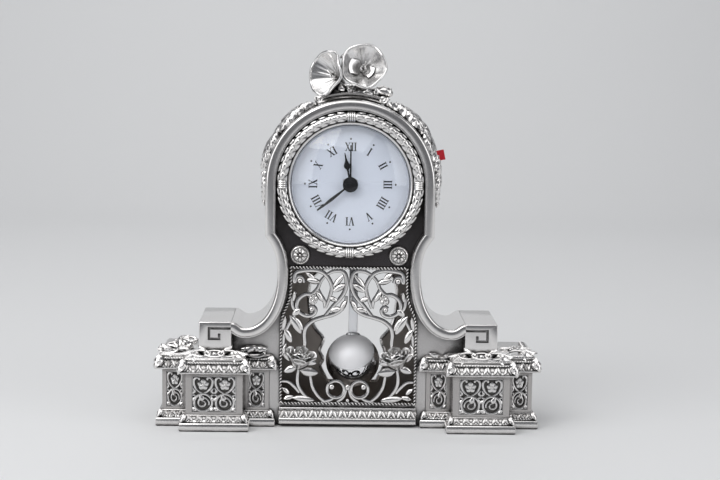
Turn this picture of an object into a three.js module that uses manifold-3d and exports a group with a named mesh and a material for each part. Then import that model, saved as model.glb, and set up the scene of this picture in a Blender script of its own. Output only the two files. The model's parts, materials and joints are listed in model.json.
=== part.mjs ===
// Silver table clock: an arched case on two pedestals, a pierced front with a swinging
// pendulum behind it, and a crest of blossoms.
// Millimetres. X runs to the right, Y to the back and Z up from the table under the clock.

import * as THREE from "three";
import { mergeVertices } from "three/addons/utils/BufferGeometryUtils.js";
import Module from "manifold-3d";

const wasm = await Module();
wasm.setup();

// Clearances
const FIT = 0.3; // between pieces that are fitted together
const RUN = 0.1; // round a pipe, arbor or pin that turns
const PAST = 1; // how far a cutting shape runs past the face it opens

// Pedestals
const DEPTH = 70; // front edge of the pedestal caps to the back of the clock
const PEDESTAL_X = 82.75; // middle of a pedestal from the middle of the clock
const WIDE_WIDTH = 66.8; // back block of the pedestal
const FRONT_WIDTH = 35.2; // front block of the pedestal
const BREAK_DEPTH = 15; // how far the front block stands forward
const PLINTH_HEIGHT = 10.2;
const PLINTH_BASE_HEIGHT = 4.8; // upright part under the sloping leaf band
const PLINTH_SPREAD = 3.9;
const BODY_HEIGHT = 25.8;
const CAP_HEIGHT = 10;
const CAP_EDGE_HEIGHT = 1.4;
const CAP_BAND_HEIGHT = 5; // leaf band that slopes up from the edge
const CAP_SPREAD = 4.6;
const CAP_BAND_SPREAD = 1.6;
const CAP_TOP_SPREAD = 0.4;

// Filigree panels in the pedestals
const PANEL_HEIGHT = 22.6;
const PANEL_POST = 3.9; // plain corner left beside a panel
const RETURN_POSTS = 5.1; // both plain strips beside a return panel
const POCKET_DEPTH = 1.5;
const PANEL_PLATE = 0.8;
const SCROLL_RELIEF = 1;
const SCROLL_WIDTH = 1.3;

// Case outline
const KEY_WIDTH = 20.3; // square block at the end of each shoulder
const KEY_HEIGHT = 21;
const DIP_SETBACK = 8.2; // block to the lowest point of the shoulder curve
const DIP_DROP = 3.6;
const NECK_SETBACK = 4.75; // pedestal to the narrowest point of the case
const NECK_RISE = 30; // shoulder top to the narrowest point
const FOOT_RISE = 23.5; // narrowest point to the foot of the hood
const SPRING_RISE = 32.5; // foot of the hood to the dial axis
const HOOD_RADIUS = 52.5;
const SHELL_WALL = 2.4;
const MOULDING_WIDTH = 6.7;
const MOULDING_DEPTH = 8;
const PLATE_SETBACK = 0.5; // front plate behind the face of the back block
const PLATE_THICKNESS = 2.5;
const PANEL_THICKNESS = 2.5; // back panel
const BACK_SETBACK = 1.6; // back panel inside the back plane, room for screw heads
const FLOOR_GAP = 2; // table to the underside of the case
const BASE_THICKNESS = 2.5;

// Meander groove on the shoulder blocks
const GROOVE_WIDTH = 1.1;
const GROOVE_DEPTH = 0.9;
const GROOVE_MARGIN = 3.4;
const GROOVE_HOOK = 2.6; // upturned end of the groove

// Pierced window of the pendulum
const ROPE_MARGIN = 0.5; // rope to the moulding at the neck
const PILASTER_WIDTH = 5.8; // plain strip between the rope and the pedestal
const WINDOW_HEAD_GAP = 7.1; // bezel to the top of the window
const WINDOW_FOOT_HEIGHT = 14.7;
const FLARE_TOP_HEIGHT = 88;
const FLARE_FOOT_HEIGHT = 62;
const ROPE_WIDTH = 2.2;
const ROPE_RELIEF = 1.8;
const FRET_FRAME = 1.5; // rim that holds the scrollwork together
const FRET_WIDTH = 1.9;
const FRET_THICKNESS = 2.6;
const FRET_RELIEF = 0.8; // in front of the plate
const ROSE_RADIUS = 7.6;
const ROSE_RELIEF = 4;
const FRIEZE_END_GAP = 2.55; // frieze to the plinth beside it
const FRIEZE_HEIGHT = 9.6;
const FRIEZE_BASE_HEIGHT = 3.9;
const FRIEZE_DEPTH = 4.4;
const FRIEZE_LEAN = 2.4; // how far the leaf band leans back
const ROSETTE_RADIUS = 6.2;
const ROSETTE_MARGIN = 1; // rosette to the moulding beside it
const ROSETTE_GAP = 2.66; // rosette to the bezel above it
const ROSETTE_LIFT = 0.5; // rosette above the rope
const ROSETTE_RELIEF = 2.6;

// Dial, bezel and lens
const BEZEL_GAP = 0.6; // moulding to the wreath
const BEZEL_BAND = 5.8; // leaf wreath
const BEZEL_COVE = 3; // plain ring inside the wreath
const BEZEL_RELIEF = 8.4;
const LENS_SEAT = 2.5; // rim of the lens in front of the plate
const LENS_RISE = 9;
const LENS_THICKNESS = 1.5;
const LENS_STEPS = 5;
const DIAL_LAP = 1; // dial hidden under the bezel
const DIAL_THICKNESS = 1;
const DIAL_SETBACK = 0.4;

// Hands, at rest at 11:38
const HOURS = 11;
const MINUTES = 38.5;
const HOUR_HAND_LENGTH = 19.8;
const MINUTE_HAND_LENGTH = 26.2;
const SECOND_HAND_LENGTH = 24.4;
const HAND_THICKNESS = 0.6;
const HAND_HUB_WALL = 0.9;
const HAND_FIT = 0.1; // press fit of a hand or knob on its pipe
const HAND_STALK = 0.7;
const SPADE_HALF = 1.85;
const MINUTE_HALF = 0.9;
const HAND_PITCH = 1; // from one hand to the next
const SECOND_HUB_RADIUS = 4.7;
const POINTER_HALF = 0.35;
const NUT_RADIUS = 5.2;
const NUT_THICKNESS = 1.2;

// Pipes on the dial axis
const ARBOR_RADIUS = 0.8;
const PIPE_WALL = 0.7;
const GEAR_THICKNESS = 1.2;
const PINION_LENGTH = 1.8;
const PINION_LEAD = 0.3; // pinion in front of the layer of its wheel
const ARBOR_TAIL = 1;

// Gear train
const TRAIN_DISTANCE = 12.75; // dial axis up to the third wheel
const MOTION_GAP = 0.6; // rim of the centre wheel to the arbor of the minute wheel
const ADDENDUM = 0.75; // height of a tooth over its pitch circle, in modules
const DEDENDUM = 1.05;
const ROOT_SHARE = 0.3; // half a tooth at its root, in pitches
const TIP_SHARE = 0.1;
const SECOND_PINION = 6;
const THIRD_WHEEL = 45;
const THIRD_PINION = 6;
const CENTRE_WHEEL = 48;
const CANNON_PINION = 8;
const MINUTE_WHEEL = 24;
const MINUTE_PINION = 8;
const HOUR_WHEEL = 32;
const LAYER = 1.9; // from one layer of wheels to the next

// Movement
const MOVEMENT_HALF = 28;
const MOVEMENT_DEPTH = 20.2;
const MOVEMENT_WALL = 1.6;
const KNOB_RADIUS = 5.5;
const KNOB_LENGTH = 6.5;
const KNOB_STANDOFF = 3;
const KNOB_FLUTES = 10;
const FLUTE_DEPTH = 0.66;
const MOTOR_SIZE = 13;
const MOTOR_HEIGHT = 8;
const MOTOR_COIL_RADIUS = 4.5;
const MOTOR_COIL_RISE = 2;
const BATTERY_RADIUS = 7.25;
const BATTERY_LENGTH = 50.5;
const BATTERY_NUB_RADIUS = 2.7;
const BATTERY_NUB_LENGTH = 1.2;
const BATTERY_RISE = 8.2; // above the dial axis
const TRAY_WALL = 1.5;
const CONTACT_THICKNESS = 0.6;
const CONTACT_SIZE = 9;
const TAB_WIDTH = 6.6;
const TAB_THICKNESS = 0.8;
const TAB_REACH = 61.5; // tip of the pull tab from the middle of the clock
const TAB_SLOPE = 12.2; // degrees

// Pendulum
const PENDULUM_SETBACK = 23; // behind the front plate
const PENDULUM_X = 3.3; // right of the middle
const PIVOT_DROP = 8; // underside of the movement to the pivot
const PIN_RADIUS = 1.2;
const HUB_RADIUS = 4;
const HUB_LENGTH = 3;
const ROD_WIDTH = 5.6;
const ROD_THICKNESS = 1.2;
const ROD_IN_BOB = 6;
const BOB_RADIUS = 17.2;
const BOB_HEIGHT = 37.8;
const BRACKET_WALL = 2;
const BRACKET_HALF = 9;
const COIL_DROP = 14;
const COIL_RADIUS = 4.5;
const COIL_LENGTH = 4;
const COIL_GAP = 0.8;
const MAGNET_RADIUS = 3;
const MAGNET_THICKNESS = 2;

// Back panel
const SERVICE_HALF = 32; // opening behind the movement
const SERVICE_RISE = 19;
const SERVICE_DROP = 20;
const BACK_WINDOW_HALF = 19;
const BACK_WINDOW_TOP = 96;
const BACK_WINDOW_FOOT = 20;
// Wavy edge of the window from foot to top: shares of its half width and of its height.
const BACK_WINDOW_EDGE = [
  [0.7, 0], [1.05, 0.14], [0.95, 0.26], [1.16, 0.38], [1, 0.5],
  [1.3, 0.64], [1.5, 0.8], [1.25, 0.93], [0.6, 1],
];
const SCREW_RADIUS = 1.1;
const SCREW_LENGTH = 8;
const SCREW_HEAD_RADIUS = 2.4;
const SCREW_HEAD_HEIGHT = 1.2;
const LUG_SIZE = 8;
const LUG_MARGIN = 1.5; // foot lug to the edge of the case
const LUG_FLOOR = 1; // lug in front of the screw tip

// Crest and garlands
const CREST_SPREAD = 26; // half angle of the crest, in degrees from the top
const CREST_THICKNESS = 4.5;
const CREST_DEPTH = 22;
const CREST_SETBACK = 8; // middle of the knot of leaves behind the middle of the clock
const CREST_RISE = 3.5; // knot above its mount
const CREST_KNOT = [9, 6, 6.4]; // half sizes of the knot
const RIGHT_BLOSSOM = [5.6, 2.4, 14.4]; // root of the blossom, its height from the top of the hood
const RIGHT_FACING = [0.2, -0.85, 0.48];
const LEFT_BLOSSOM = [-8.6, 4.4, 12];
const LEFT_FACING = [-0.78, -0.56, 0.26];
const BLOSSOM_RADIUS = 14.2;
const BLOSSOM_DEPTH = 12;
const BLOSSOM_WALL = 1.3;
const PETALS = 5;
const PETAL_WAVE = 0.07; // swell of a petal, as a share of the radius
const STEM_RADIUS = 2.2;
const STEM_LENGTH = 7;
const GARLAND_THICKNESS = 5;
const GARLAND_DEPTH = 26;
const GARLAND_FOOT_DROP = 20; // dial axis down to the last leaf
const GARLAND_LEAVES = 9;
const GARLAND_GAP = 1; // degrees between the crest and a garland
const GARLAND_FOOT_SHARE = 0.35; // thickness at the last leaf
const GARLAND_NOTCH_SHARE = 0.45; // thickness between two leaves

// Levels and planes that follow from the sizes above
const BACK = DEPTH / 2;
const BODY_FOOT = PLINTH_HEIGHT;
const CAP_FOOT = BODY_FOOT + BODY_HEIGHT;
const CAP_TOP = CAP_FOOT + CAP_HEIGHT;
const SHOULDER_TOP = CAP_TOP + KEY_HEIGHT;
const NECK_LEVEL = SHOULDER_TOP + NECK_RISE;
const HOOD_FOOT = NECK_LEVEL + FOOT_RISE;
const DIAL_LEVEL = HOOD_FOOT + SPRING_RISE;
const HOOD_TOP = DIAL_LEVEL + HOOD_RADIUS;
const KEY_INNER = PEDESTAL_X - KEY_WIDTH / 2;
const KEY_OUTER = PEDESTAL_X + KEY_WIDTH / 2;
const PEDESTAL_INNER = PEDESTAL_X - WIDE_WIDTH / 2;
const FRONT_FACE = -DEPTH / 2 + CAP_SPREAD;
const WIDE_FACE = FRONT_FACE + BREAK_DEPTH;
const PLATE_FRONT = WIDE_FACE + PLATE_SETBACK;
const PLATE_BACK = PLATE_FRONT + PLATE_THICKNESS;
const PANEL_BACK = BACK - BACK_SETBACK;
const PANEL_FRONT = PANEL_BACK - PANEL_THICKNESS;
const CASE_FOOT_HALF = PEDESTAL_INNER - FIT;
const NECK_HALF = PEDESTAL_INNER - NECK_SETBACK;
const FRIEZE_HALF = PEDESTAL_INNER - PLINTH_SPREAD - FRIEZE_END_GAP;
const WINDOW_TOP_HALF = NECK_HALF - MOULDING_WIDTH - ROPE_MARGIN - ROPE_WIDTH / 2;
const WINDOW_FOOT_HALF = CASE_FOOT_HALF - PILASTER_WIDTH - ROPE_WIDTH / 2;
const BEZEL_RADIUS = HOOD_RADIUS - MOULDING_WIDTH - BEZEL_GAP;
const ROSETTE_X = NECK_HALF - MOULDING_WIDTH - ROSETTE_MARGIN - ROSETTE_RADIUS;
const ROSETTE_DROP = Math.sqrt((BEZEL_RADIUS + ROSETTE_GAP + ROSETTE_RADIUS) ** 2 - ROSETTE_X ** 2);
const UNDER_ROSETTE = ROSETTE_RADIUS + ROSETTE_LIFT + ROPE_WIDTH / 2;
const WINDOW_DROP = Math.max(BEZEL_RADIUS + WINDOW_HEAD_GAP, ROSETTE_DROP + UNDER_ROSETTE);
const WINDOW_TOP = DIAL_LEVEL - WINDOW_DROP;
const LENS_RADIUS = BEZEL_RADIUS - BEZEL_BAND - BEZEL_COVE;
const DIAL_RADIUS = LENS_RADIUS + DIAL_LAP;
const DIAL_FRONT = PLATE_FRONT + DIAL_SETBACK;
const DIAL_BACK = DIAL_FRONT + DIAL_THICKNESS;
const PENDULUM_Y = PLATE_FRONT + PENDULUM_SETBACK;
const CENTRE_MODULE = (2 * TRAIN_DISTANCE) / (CENTRE_WHEEL + THIRD_PINION);
const CENTRE_RIM = (CENTRE_WHEEL / 2 + ADDENDUM) * CENTRE_MODULE;
const MOTION_DISTANCE = CENTRE_RIM + MOTION_GAP + ARBOR_RADIUS; // dial axis down to the minute wheel

// Finishes
const SILVER = { color: 0xc9ccd0, roughness: 0.22, metalness: 1 };
const DARK_SILVER = { color: 0x8d9095, roughness: 0.4, metalness: 1 };
const CHROME = { color: 0xdadce0, roughness: 0.05, metalness: 1 };
const WHITE = { color: 0xeef1f6, roughness: 0.5, metalness: 0 };
const BLACK = { color: 0x0b0b0c, roughness: 0.4, metalness: 0 };
const GLASS = { color: 0xf4f8fa, roughness: 0.03, metalness: 0, transparent: true, opacity: 0.25 };
const MOULDED = { color: 0x1c1d20, roughness: 0.55, metalness: 0 };
const GEAR = { color: 0xe6e2d4, roughness: 0.5, metalness: 0 };
const STEEL = { color: 0xb4b7ba, roughness: 0.35, metalness: 1 };
const CELL = { color: 0x3a6b4a, roughness: 0.4, metalness: 0.2 };
const COPPER = { color: 0xa8602f, roughness: 0.45, metalness: 0.8 };
const RED = { color: 0xb3202a, roughness: 0.4, metalness: 0 };

const clock = new THREE.Group();

// Shape helpers

function closed(geometry) {
  const plain = new THREE.BufferGeometry();
  plain.setAttribute("position", geometry.getAttribute("position").clone());
  if (geometry.index) {
    plain.setIndex(geometry.index.clone());
  }
  const welded = mergeVertices(plain, 1e-3);
  const source = welded.index.array;
  const kept = [];
  for (let i = 0; i < source.length; i += 3) {
    const [a, b, c] = [source[i], source[i + 1], source[i + 2]];
    if (a !== b && b !== c && a !== c) {
      kept.push(a, b, c);
    }
  }
  welded.setIndex(volumeOf(welded, kept) < 0 ? kept.reverse() : kept);
  return welded;
}

function volumeOf(geometry, index) {
  const at = geometry.getAttribute("position");
  const [a, b, c] = [new THREE.Vector3(), new THREE.Vector3(), new THREE.Vector3()];
  let volume = 0;
  for (let i = 0; i < index.length; i += 3) {
    a.fromBufferAttribute(at, index[i]);
    b.fromBufferAttribute(at, index[i + 1]);
    c.fromBufferAttribute(at, index[i + 2]);
    volume += a.dot(b.cross(c)) / 6;
  }
  return volume;
}

function solidOf(geometry) {
  const shell = closed(geometry);
  return new wasm.Manifold(new wasm.Mesh({
    numProp: 3,
    vertProperties: new Float32Array(shell.getAttribute("position").array),
    triVerts: new Uint32Array(shell.index.array),
  }));
}

function geometryOf(solid) {
  const mesh = solid.getMesh();
  const geometry = new THREE.BufferGeometry();
  geometry.setAttribute("position", new THREE.BufferAttribute(new Float32Array(mesh.vertProperties), 3));
  geometry.setIndex([...mesh.triVerts]);
  return geometry;
}

function join(first, ...others) {
  return geometryOf(others.reduce((solid, other) => solid.add(solidOf(other)), solidOf(first)));
}

function cut(first, ...others) {
  return geometryOf(others.reduce((solid, other) => solid.subtract(solidOf(other)), solidOf(first)));
}

function common(first, second) {
  return geometryOf(solidOf(first).intersect(solidOf(second)));
}

// A flat shape drawn in X and Z, given its thickness between two planes of Y.
function slab(shape, front, back, curveSegments = 10) {
  const options = { depth: back - front, bevelEnabled: false, curveSegments };
  return closed(new THREE.ExtrudeGeometry(shape, options).rotateX(Math.PI / 2).translate(0, back, 0));
}

// A profile of radius and Y turned round an axis along Y.
function turned(profile, segments) {
  return closed(new THREE.LatheGeometry(profile.map(([r, y]) => new THREE.Vector2(r, y)), segments));
}

function ringTurned(inner, outer, front, back, segments) {
  return turned([[inner, front], [outer, front], [outer, back], [inner, back], [inner, front]], segments);
}

function discTurned(radius, front, back, segments) {
  return turned([[0, front], [radius, front], [radius, back], [0, back]], segments);
}

function box(x0, x1, y0, y1, z0, z1) {
  return closed(new THREE.BoxGeometry(x1 - x0, y1 - y0, z1 - z0)
    .translate((x0 + x1) / 2, (y0 + y1) / 2, (z0 + z1) / 2));
}

function rectangle(x0, x1, z0, z1) {
  return [[x0, z0], [x1, z0], [x1, z1], [x0, z1]];
}

function shapeOf(points, holes = []) {
  const toVectors = (list) => list.map(([x, z]) => new THREE.Vector2(x, z));
  const shape = new THREE.Shape(toVectors(points));
  shape.holes = holes.map((hole) => new THREE.Path(toVectors(hole)));
  return shape;
}

function circle(x, z, radius, count) {
  return Array.from({ length: count }, (_, i) => {
    const angle = (i / count) * 2 * Math.PI;
    return [x + radius * Math.cos(angle), z + radius * Math.sin(angle)];
  });
}

// Right half and its mirror image as one outline. The half runs from foot to top, and a point
// on the middle line is kept once.
function mirrored(half) {
  const left = half.filter(([x]) => x > 1e-6).map(([x, z]) => [-x, z]).reverse();
  return [...half, ...left];
}

// An open line moved sideways, to its left, by a distance.
function offsetLine(line, distance) {
  return line.map(([x, z], i) => {
    const before = line[Math.max(i - 1, 0)];
    const after = line[Math.min(i + 1, line.length - 1)];
    const first = new THREE.Vector2(x - before[0], z - before[1]).normalize();
    const second = new THREE.Vector2(after[0] - x, after[1] - z).normalize();
    const along = first.clone().add(second).normalize();
    const mitre = Math.max(along.dot(i === 0 ? second : first), 0.5);
    return [x - (along.y * distance) / mitre, z + (along.x * distance) / mitre];
  });
}

function smoothLine(points, steps) {
  const route = points.map(([x, z]) => new THREE.Vector2(x, z));
  return new THREE.SplineCurve(route).getSpacedPoints(steps).map((p) => [p.x, p.y]);
}

// A strip of even width along a smooth line.
function ribbon(points, width, steps) {
  const line = smoothLine(points, steps);
  return shapeOf([...offsetLine(line, width / 2), ...offsetLine(line, -width / 2).reverse()]);
}

// A pointed leaf between two points.
function leaf([x0, z0], [x1, z1], width) {
  const [dx, dz] = [x1 - x0, z1 - z0];
  const length = Math.hypot(dx, dz);
  const across = [(-dz / length) * width, (dx / length) * width];
  const side = (along, out) => [x0 + dx * along + across[0] * out, z0 + dz * along + across[1] * out];
  return shapeOf([[x0, z0], side(0.3, -0.42), side(0.6, -0.45), [x1, z1], side(0.6, 0.45), side(0.3, 0.42)]);
}

// Level outlines stacked into a solid; every level has the same number of points.
function stacked(levels) {
  const count = levels[0].outline.length;
  const positions = levels.flatMap(({ outline, z }) => outline.flatMap(([x, y]) => [x, y, z]));
  const index = [];
  for (let level = 0; level + 1 < levels.length; level += 1) {
    for (let i = 0; i < count; i += 1) {
      const a = level * count + i;
      const b = level * count + ((i + 1) % count);
      index.push(a, b, b + count, a, b + count, a + count);
    }
  }
  const flat = (outline) => outline.map(([x, y]) => new THREE.Vector2(x, y));
  const top = (levels.length - 1) * count;
  for (const [a, b, c] of THREE.ShapeUtils.triangulateShape(flat(levels[0].outline), [])) {
    index.push(c, b, a);
  }
  for (const [a, b, c] of THREE.ShapeUtils.triangulateShape(flat(levels.at(-1).outline), [])) {
    index.push(top + a, top + b, top + c);
  }
  const geometry = new THREE.BufferGeometry();
  geometry.setAttribute("position", new THREE.Float32BufferAttribute(positions, 3));
  geometry.setIndex(index);
  return closed(geometry);
}

function flipped(geometry) {
  return closed(geometry.clone().scale(-1, 1, 1));
}

function onDialAxis(geometry) {
  return geometry.translate(0, 0, DIAL_LEVEL);
}

function add(name, geometry, finish, parent = clock) {
  const mesh = new THREE.Mesh(geometry, new THREE.MeshStandardMaterial(finish));
  mesh.name = name;
  parent.add(mesh);
  return mesh;
}

function addPair(name, geometry, finish) {
  add(`${name}_right`, geometry, finish);
  add(`${name}_left`, flipped(geometry), finish);
}

// Case outline, right half, from the shoulder block to the top of the hood

function shoulderCurve() {
  const dipX = KEY_INNER - DIP_SETBACK;
  const dip = SHOULDER_TOP - DIP_DROP;
  const path = new THREE.Path();
  path.moveTo(KEY_INNER, SHOULDER_TOP);
  path.bezierCurveTo(KEY_INNER - 0.4 * DIP_SETBACK, SHOULDER_TOP, dipX + 0.45 * DIP_SETBACK, dip, dipX, dip);
  const reach = dipX - NECK_HALF;
  path.bezierCurveTo(dipX - 0.58 * reach, dip,
    NECK_HALF, NECK_LEVEL - 0.64 * NECK_RISE, NECK_HALF, NECK_LEVEL);
  const swell = HOOD_RADIUS - NECK_HALF;
  path.bezierCurveTo(NECK_HALF, NECK_LEVEL + 0.43 * FOOT_RISE,
    NECK_HALF + 0.25 * swell, NECK_LEVEL + 0.72 * FOOT_RISE, HOOD_RADIUS, HOOD_FOOT);
  return path.getPoints(7).map((p) => [p.x, p.y]);
}

function hoodArc(radius, steps) {
  return Array.from({ length: steps + 1 }, (_, i) => {
    const angle = ((i / steps) * Math.PI) / 2;
    return [i === steps ? 0 : radius * Math.cos(angle), DIAL_LEVEL + radius * Math.sin(angle)];
  });
}

const CASE_LINE = [...shoulderCurve(), ...hoodArc(HOOD_RADIUS, 12)];

function insideLine(distance) {
  const line = offsetLine(CASE_LINE, distance);
  line[line.length - 1] = [0, HOOD_TOP - distance];
  return line;
}

// Band that follows the case outline and ends in the shoulder blocks.
function caseBand(width) {
  const outer = mirrored([[KEY_OUTER, CAP_TOP], [KEY_OUTER, SHOULDER_TOP], ...CASE_LINE]);
  const inner = mirrored([[KEY_INNER, CAP_TOP], ...insideLine(width)]);
  return shapeOf([...outer, ...inner.reverse()]);
}

// Plate that fills the case inside its shell, from its foot to the hood.
function casePlate(holes) {
  const limit = KEY_INNER - FIT;
  const line = insideLine(SHELL_WALL + FIT).filter(([x]) => x < limit);
  const half = [
    [CASE_FOOT_HALF, FLOOR_GAP],
    [CASE_FOOT_HALF, CAP_TOP + FIT],
    [limit, CAP_TOP + FIT],
    [limit, SHOULDER_TOP - SHELL_WALL - FIT],
    ...line,
  ];
  return shapeOf(mirrored(half), holes);
}

// Window outline, right half from foot to top, moved in by an inset.
function windowLine(inset) {
  const foot = WINDOW_FOOT_HALF - inset;
  const top = WINDOW_TOP_HALF - inset;
  const rise = FLARE_TOP_HEIGHT - FLARE_FOOT_HEIGHT;
  const path = new THREE.Path();
  path.moveTo(foot, WINDOW_FOOT_HEIGHT + inset);
  path.lineTo(foot, FLARE_FOOT_HEIGHT);
  path.bezierCurveTo(foot, FLARE_FOOT_HEIGHT + rise / 2,
    top, FLARE_TOP_HEIGHT - rise / 2, top, FLARE_TOP_HEIGHT);
  path.lineTo(top, WINDOW_TOP - inset);
  return path.getPoints(6).map((p) => [p.x, p.y]);
}

function windowOutline(inset) {
  return mirrored(windowLine(inset));
}

const LUG_X = CASE_FOOT_HALF - LUG_SIZE / 2 - LUG_MARGIN;
const TOP_LUG_X = HOOD_RADIUS - SHELL_WALL - LUG_SIZE / 2;
const TOP_LUG_LEVEL = HOOD_FOOT + LUG_SIZE;
const FOOT_LUG_LEVEL = FLOOR_GAP + BASE_THICKNESS + LUG_SIZE / 2;
const SCREW_PLACES = [
  ["top_right", TOP_LUG_X, TOP_LUG_LEVEL],
  ["top_left", -TOP_LUG_X, TOP_LUG_LEVEL],
  ["foot_right", LUG_X, FOOT_LUG_LEVEL],
  ["foot_left", -LUG_X, FOOT_LUG_LEVEL],
];

function screwHole(x, z) {
  const tip = PANEL_FRONT - SCREW_LENGTH - FIT;
  return discTurned(SCREW_RADIUS + FIT, tip, PANEL_BACK + PAST, 8).translate(x, 0, z);
}

function lug(x, z, reach) {
  const half = LUG_SIZE / 2;
  const front = PANEL_FRONT - SCREW_LENGTH - LUG_FLOOR;
  return box(x - half, x + half + reach, front, PANEL_FRONT, z - half, z + half);
}

// Case

function caseShell() {
  const lugRight = lug(TOP_LUG_X, TOP_LUG_LEVEL, SHELL_WALL / 2);
  const shell = join(slab(caseBand(SHELL_WALL), PLATE_FRONT, PANEL_BACK), lugRight, flipped(lugRight));
  return cut(shell, ...SCREW_PLACES.slice(0, 2).map(([, x, z]) => screwHole(x, z)));
}

function frontMoulding() {
  const front = PLATE_FRONT - MOULDING_DEPTH;
  const left = KEY_INNER;
  const right = KEY_OUTER - GROOVE_MARGIN;
  const top = SHOULDER_TOP - GROOVE_MARGIN;
  const foot = top - KEY_WIDTH + 2 * GROOVE_MARGIN + GROOVE_WIDTH;
  const middle = (left + right) / 2;
  const bars = [
    [left - PAST, right, top - GROOVE_WIDTH, top],
    [right - GROOVE_WIDTH, right, foot, top],
    [middle, right, foot, foot + GROOVE_WIDTH],
    [middle, middle + GROOVE_WIDTH, foot, foot + GROOVE_HOOK],
  ].map(([x0, x1, z0, z1]) => box(x0, x1, front - PAST, front + GROOVE_DEPTH, z0, z1));
  return cut(slab(caseBand(MOULDING_WIDTH), front, PLATE_FRONT), ...bars, ...bars.map(flipped));
}

function frontPlate() {
  const dialHole = circle(0, DIAL_LEVEL, DIAL_RADIUS + FIT, 40);
  return slab(casePlate([dialHole, windowOutline(0)]), PLATE_FRONT, PLATE_BACK);
}

function ropeBorder() {
  const outer = windowOutline(-ROPE_WIDTH / 2);
  const inner = windowOutline(ROPE_WIDTH / 2);
  return slab(shapeOf(outer, [inner]), PLATE_FRONT - ROPE_RELIEF, PLATE_FRONT);
}

function basePlate() {
  const top = FLOOR_GAP + BASE_THICKNESS;
  const plate = box(-CASE_FOOT_HALF, CASE_FOOT_HALF, PLATE_BACK, PANEL_FRONT, FLOOR_GAP, top);
  const lugs = SCREW_PLACES.slice(2).map(([, x, z]) => lug(x, z, 0));
  return cut(join(plate, ...lugs), ...SCREW_PLACES.slice(2).map(([, x, z]) => screwHole(x, z)));
}

function friezeRail() {
  const foot = FLOOR_GAP;
  const back = PLATE_FRONT;
  const front = back - FRIEZE_DEPTH;
  const outline = (grow) => [
    [-FRIEZE_HALF + grow, back], [-FRIEZE_HALF + grow, front + grow],
    [FRIEZE_HALF - grow, front + grow], [FRIEZE_HALF - grow, back],
  ];
  return stacked([
    { outline: outline(0), z: foot },
    { outline: outline(0), z: foot + FRIEZE_BASE_HEIGHT },
    { outline: outline(FRIEZE_LEAN), z: foot + FRIEZE_HEIGHT },
  ]);
}

function backPanel() {
  const [foot, top] = [DIAL_LEVEL - SERVICE_DROP, DIAL_LEVEL + SERVICE_RISE];
  const service = rectangle(-SERVICE_HALF, SERVICE_HALF, foot, top);
  const span = BACK_WINDOW_TOP - BACK_WINDOW_FOOT;
  const edge = BACK_WINDOW_EDGE.map(([w, h]) => [w * BACK_WINDOW_HALF, BACK_WINDOW_FOOT + h * span]);
  const window = mirrored(smoothLine(edge, 20));
  const plate = slab(casePlate([service, window]), PANEL_FRONT, PANEL_BACK);
  return cut(plate, ...SCREW_PLACES.map(([, x, z]) => screwHole(x, z)));
}

function panelScrew(x, z) {
  const tip = PANEL_FRONT - SCREW_LENGTH;
  const head = PANEL_BACK + SCREW_HEAD_HEIGHT;
  return turned([
    [0, tip], [SCREW_RADIUS, tip], [SCREW_RADIUS, PANEL_BACK], [SCREW_HEAD_RADIUS, PANEL_BACK],
    [SCREW_HEAD_RADIUS, head - SCREW_HEAD_HEIGHT * 0.4], [SCREW_HEAD_RADIUS * 0.6, head], [0, head],
  ], 8).translate(x, 0, z);
}

add("case_shell", caseShell(), SILVER);
add("front_moulding", frontMoulding(), SILVER);
add("front_plate", frontPlate(), SILVER);
add("rope_border", ropeBorder(), SILVER);
add("base_plate", basePlate(), DARK_SILVER);
add("frieze_rail", friezeRail(), SILVER);
add("back_panel", backPanel(), DARK_SILVER);
for (const [place, x, z] of SCREW_PLACES) {
  add(`back_screw_${place}`, panelScrew(x, z), STEEL);
}

// Scrollwork in the window. The drawing shows its right half, from the middle line and the foot of the
// window, and is stretched to the window's own width and height.

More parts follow.
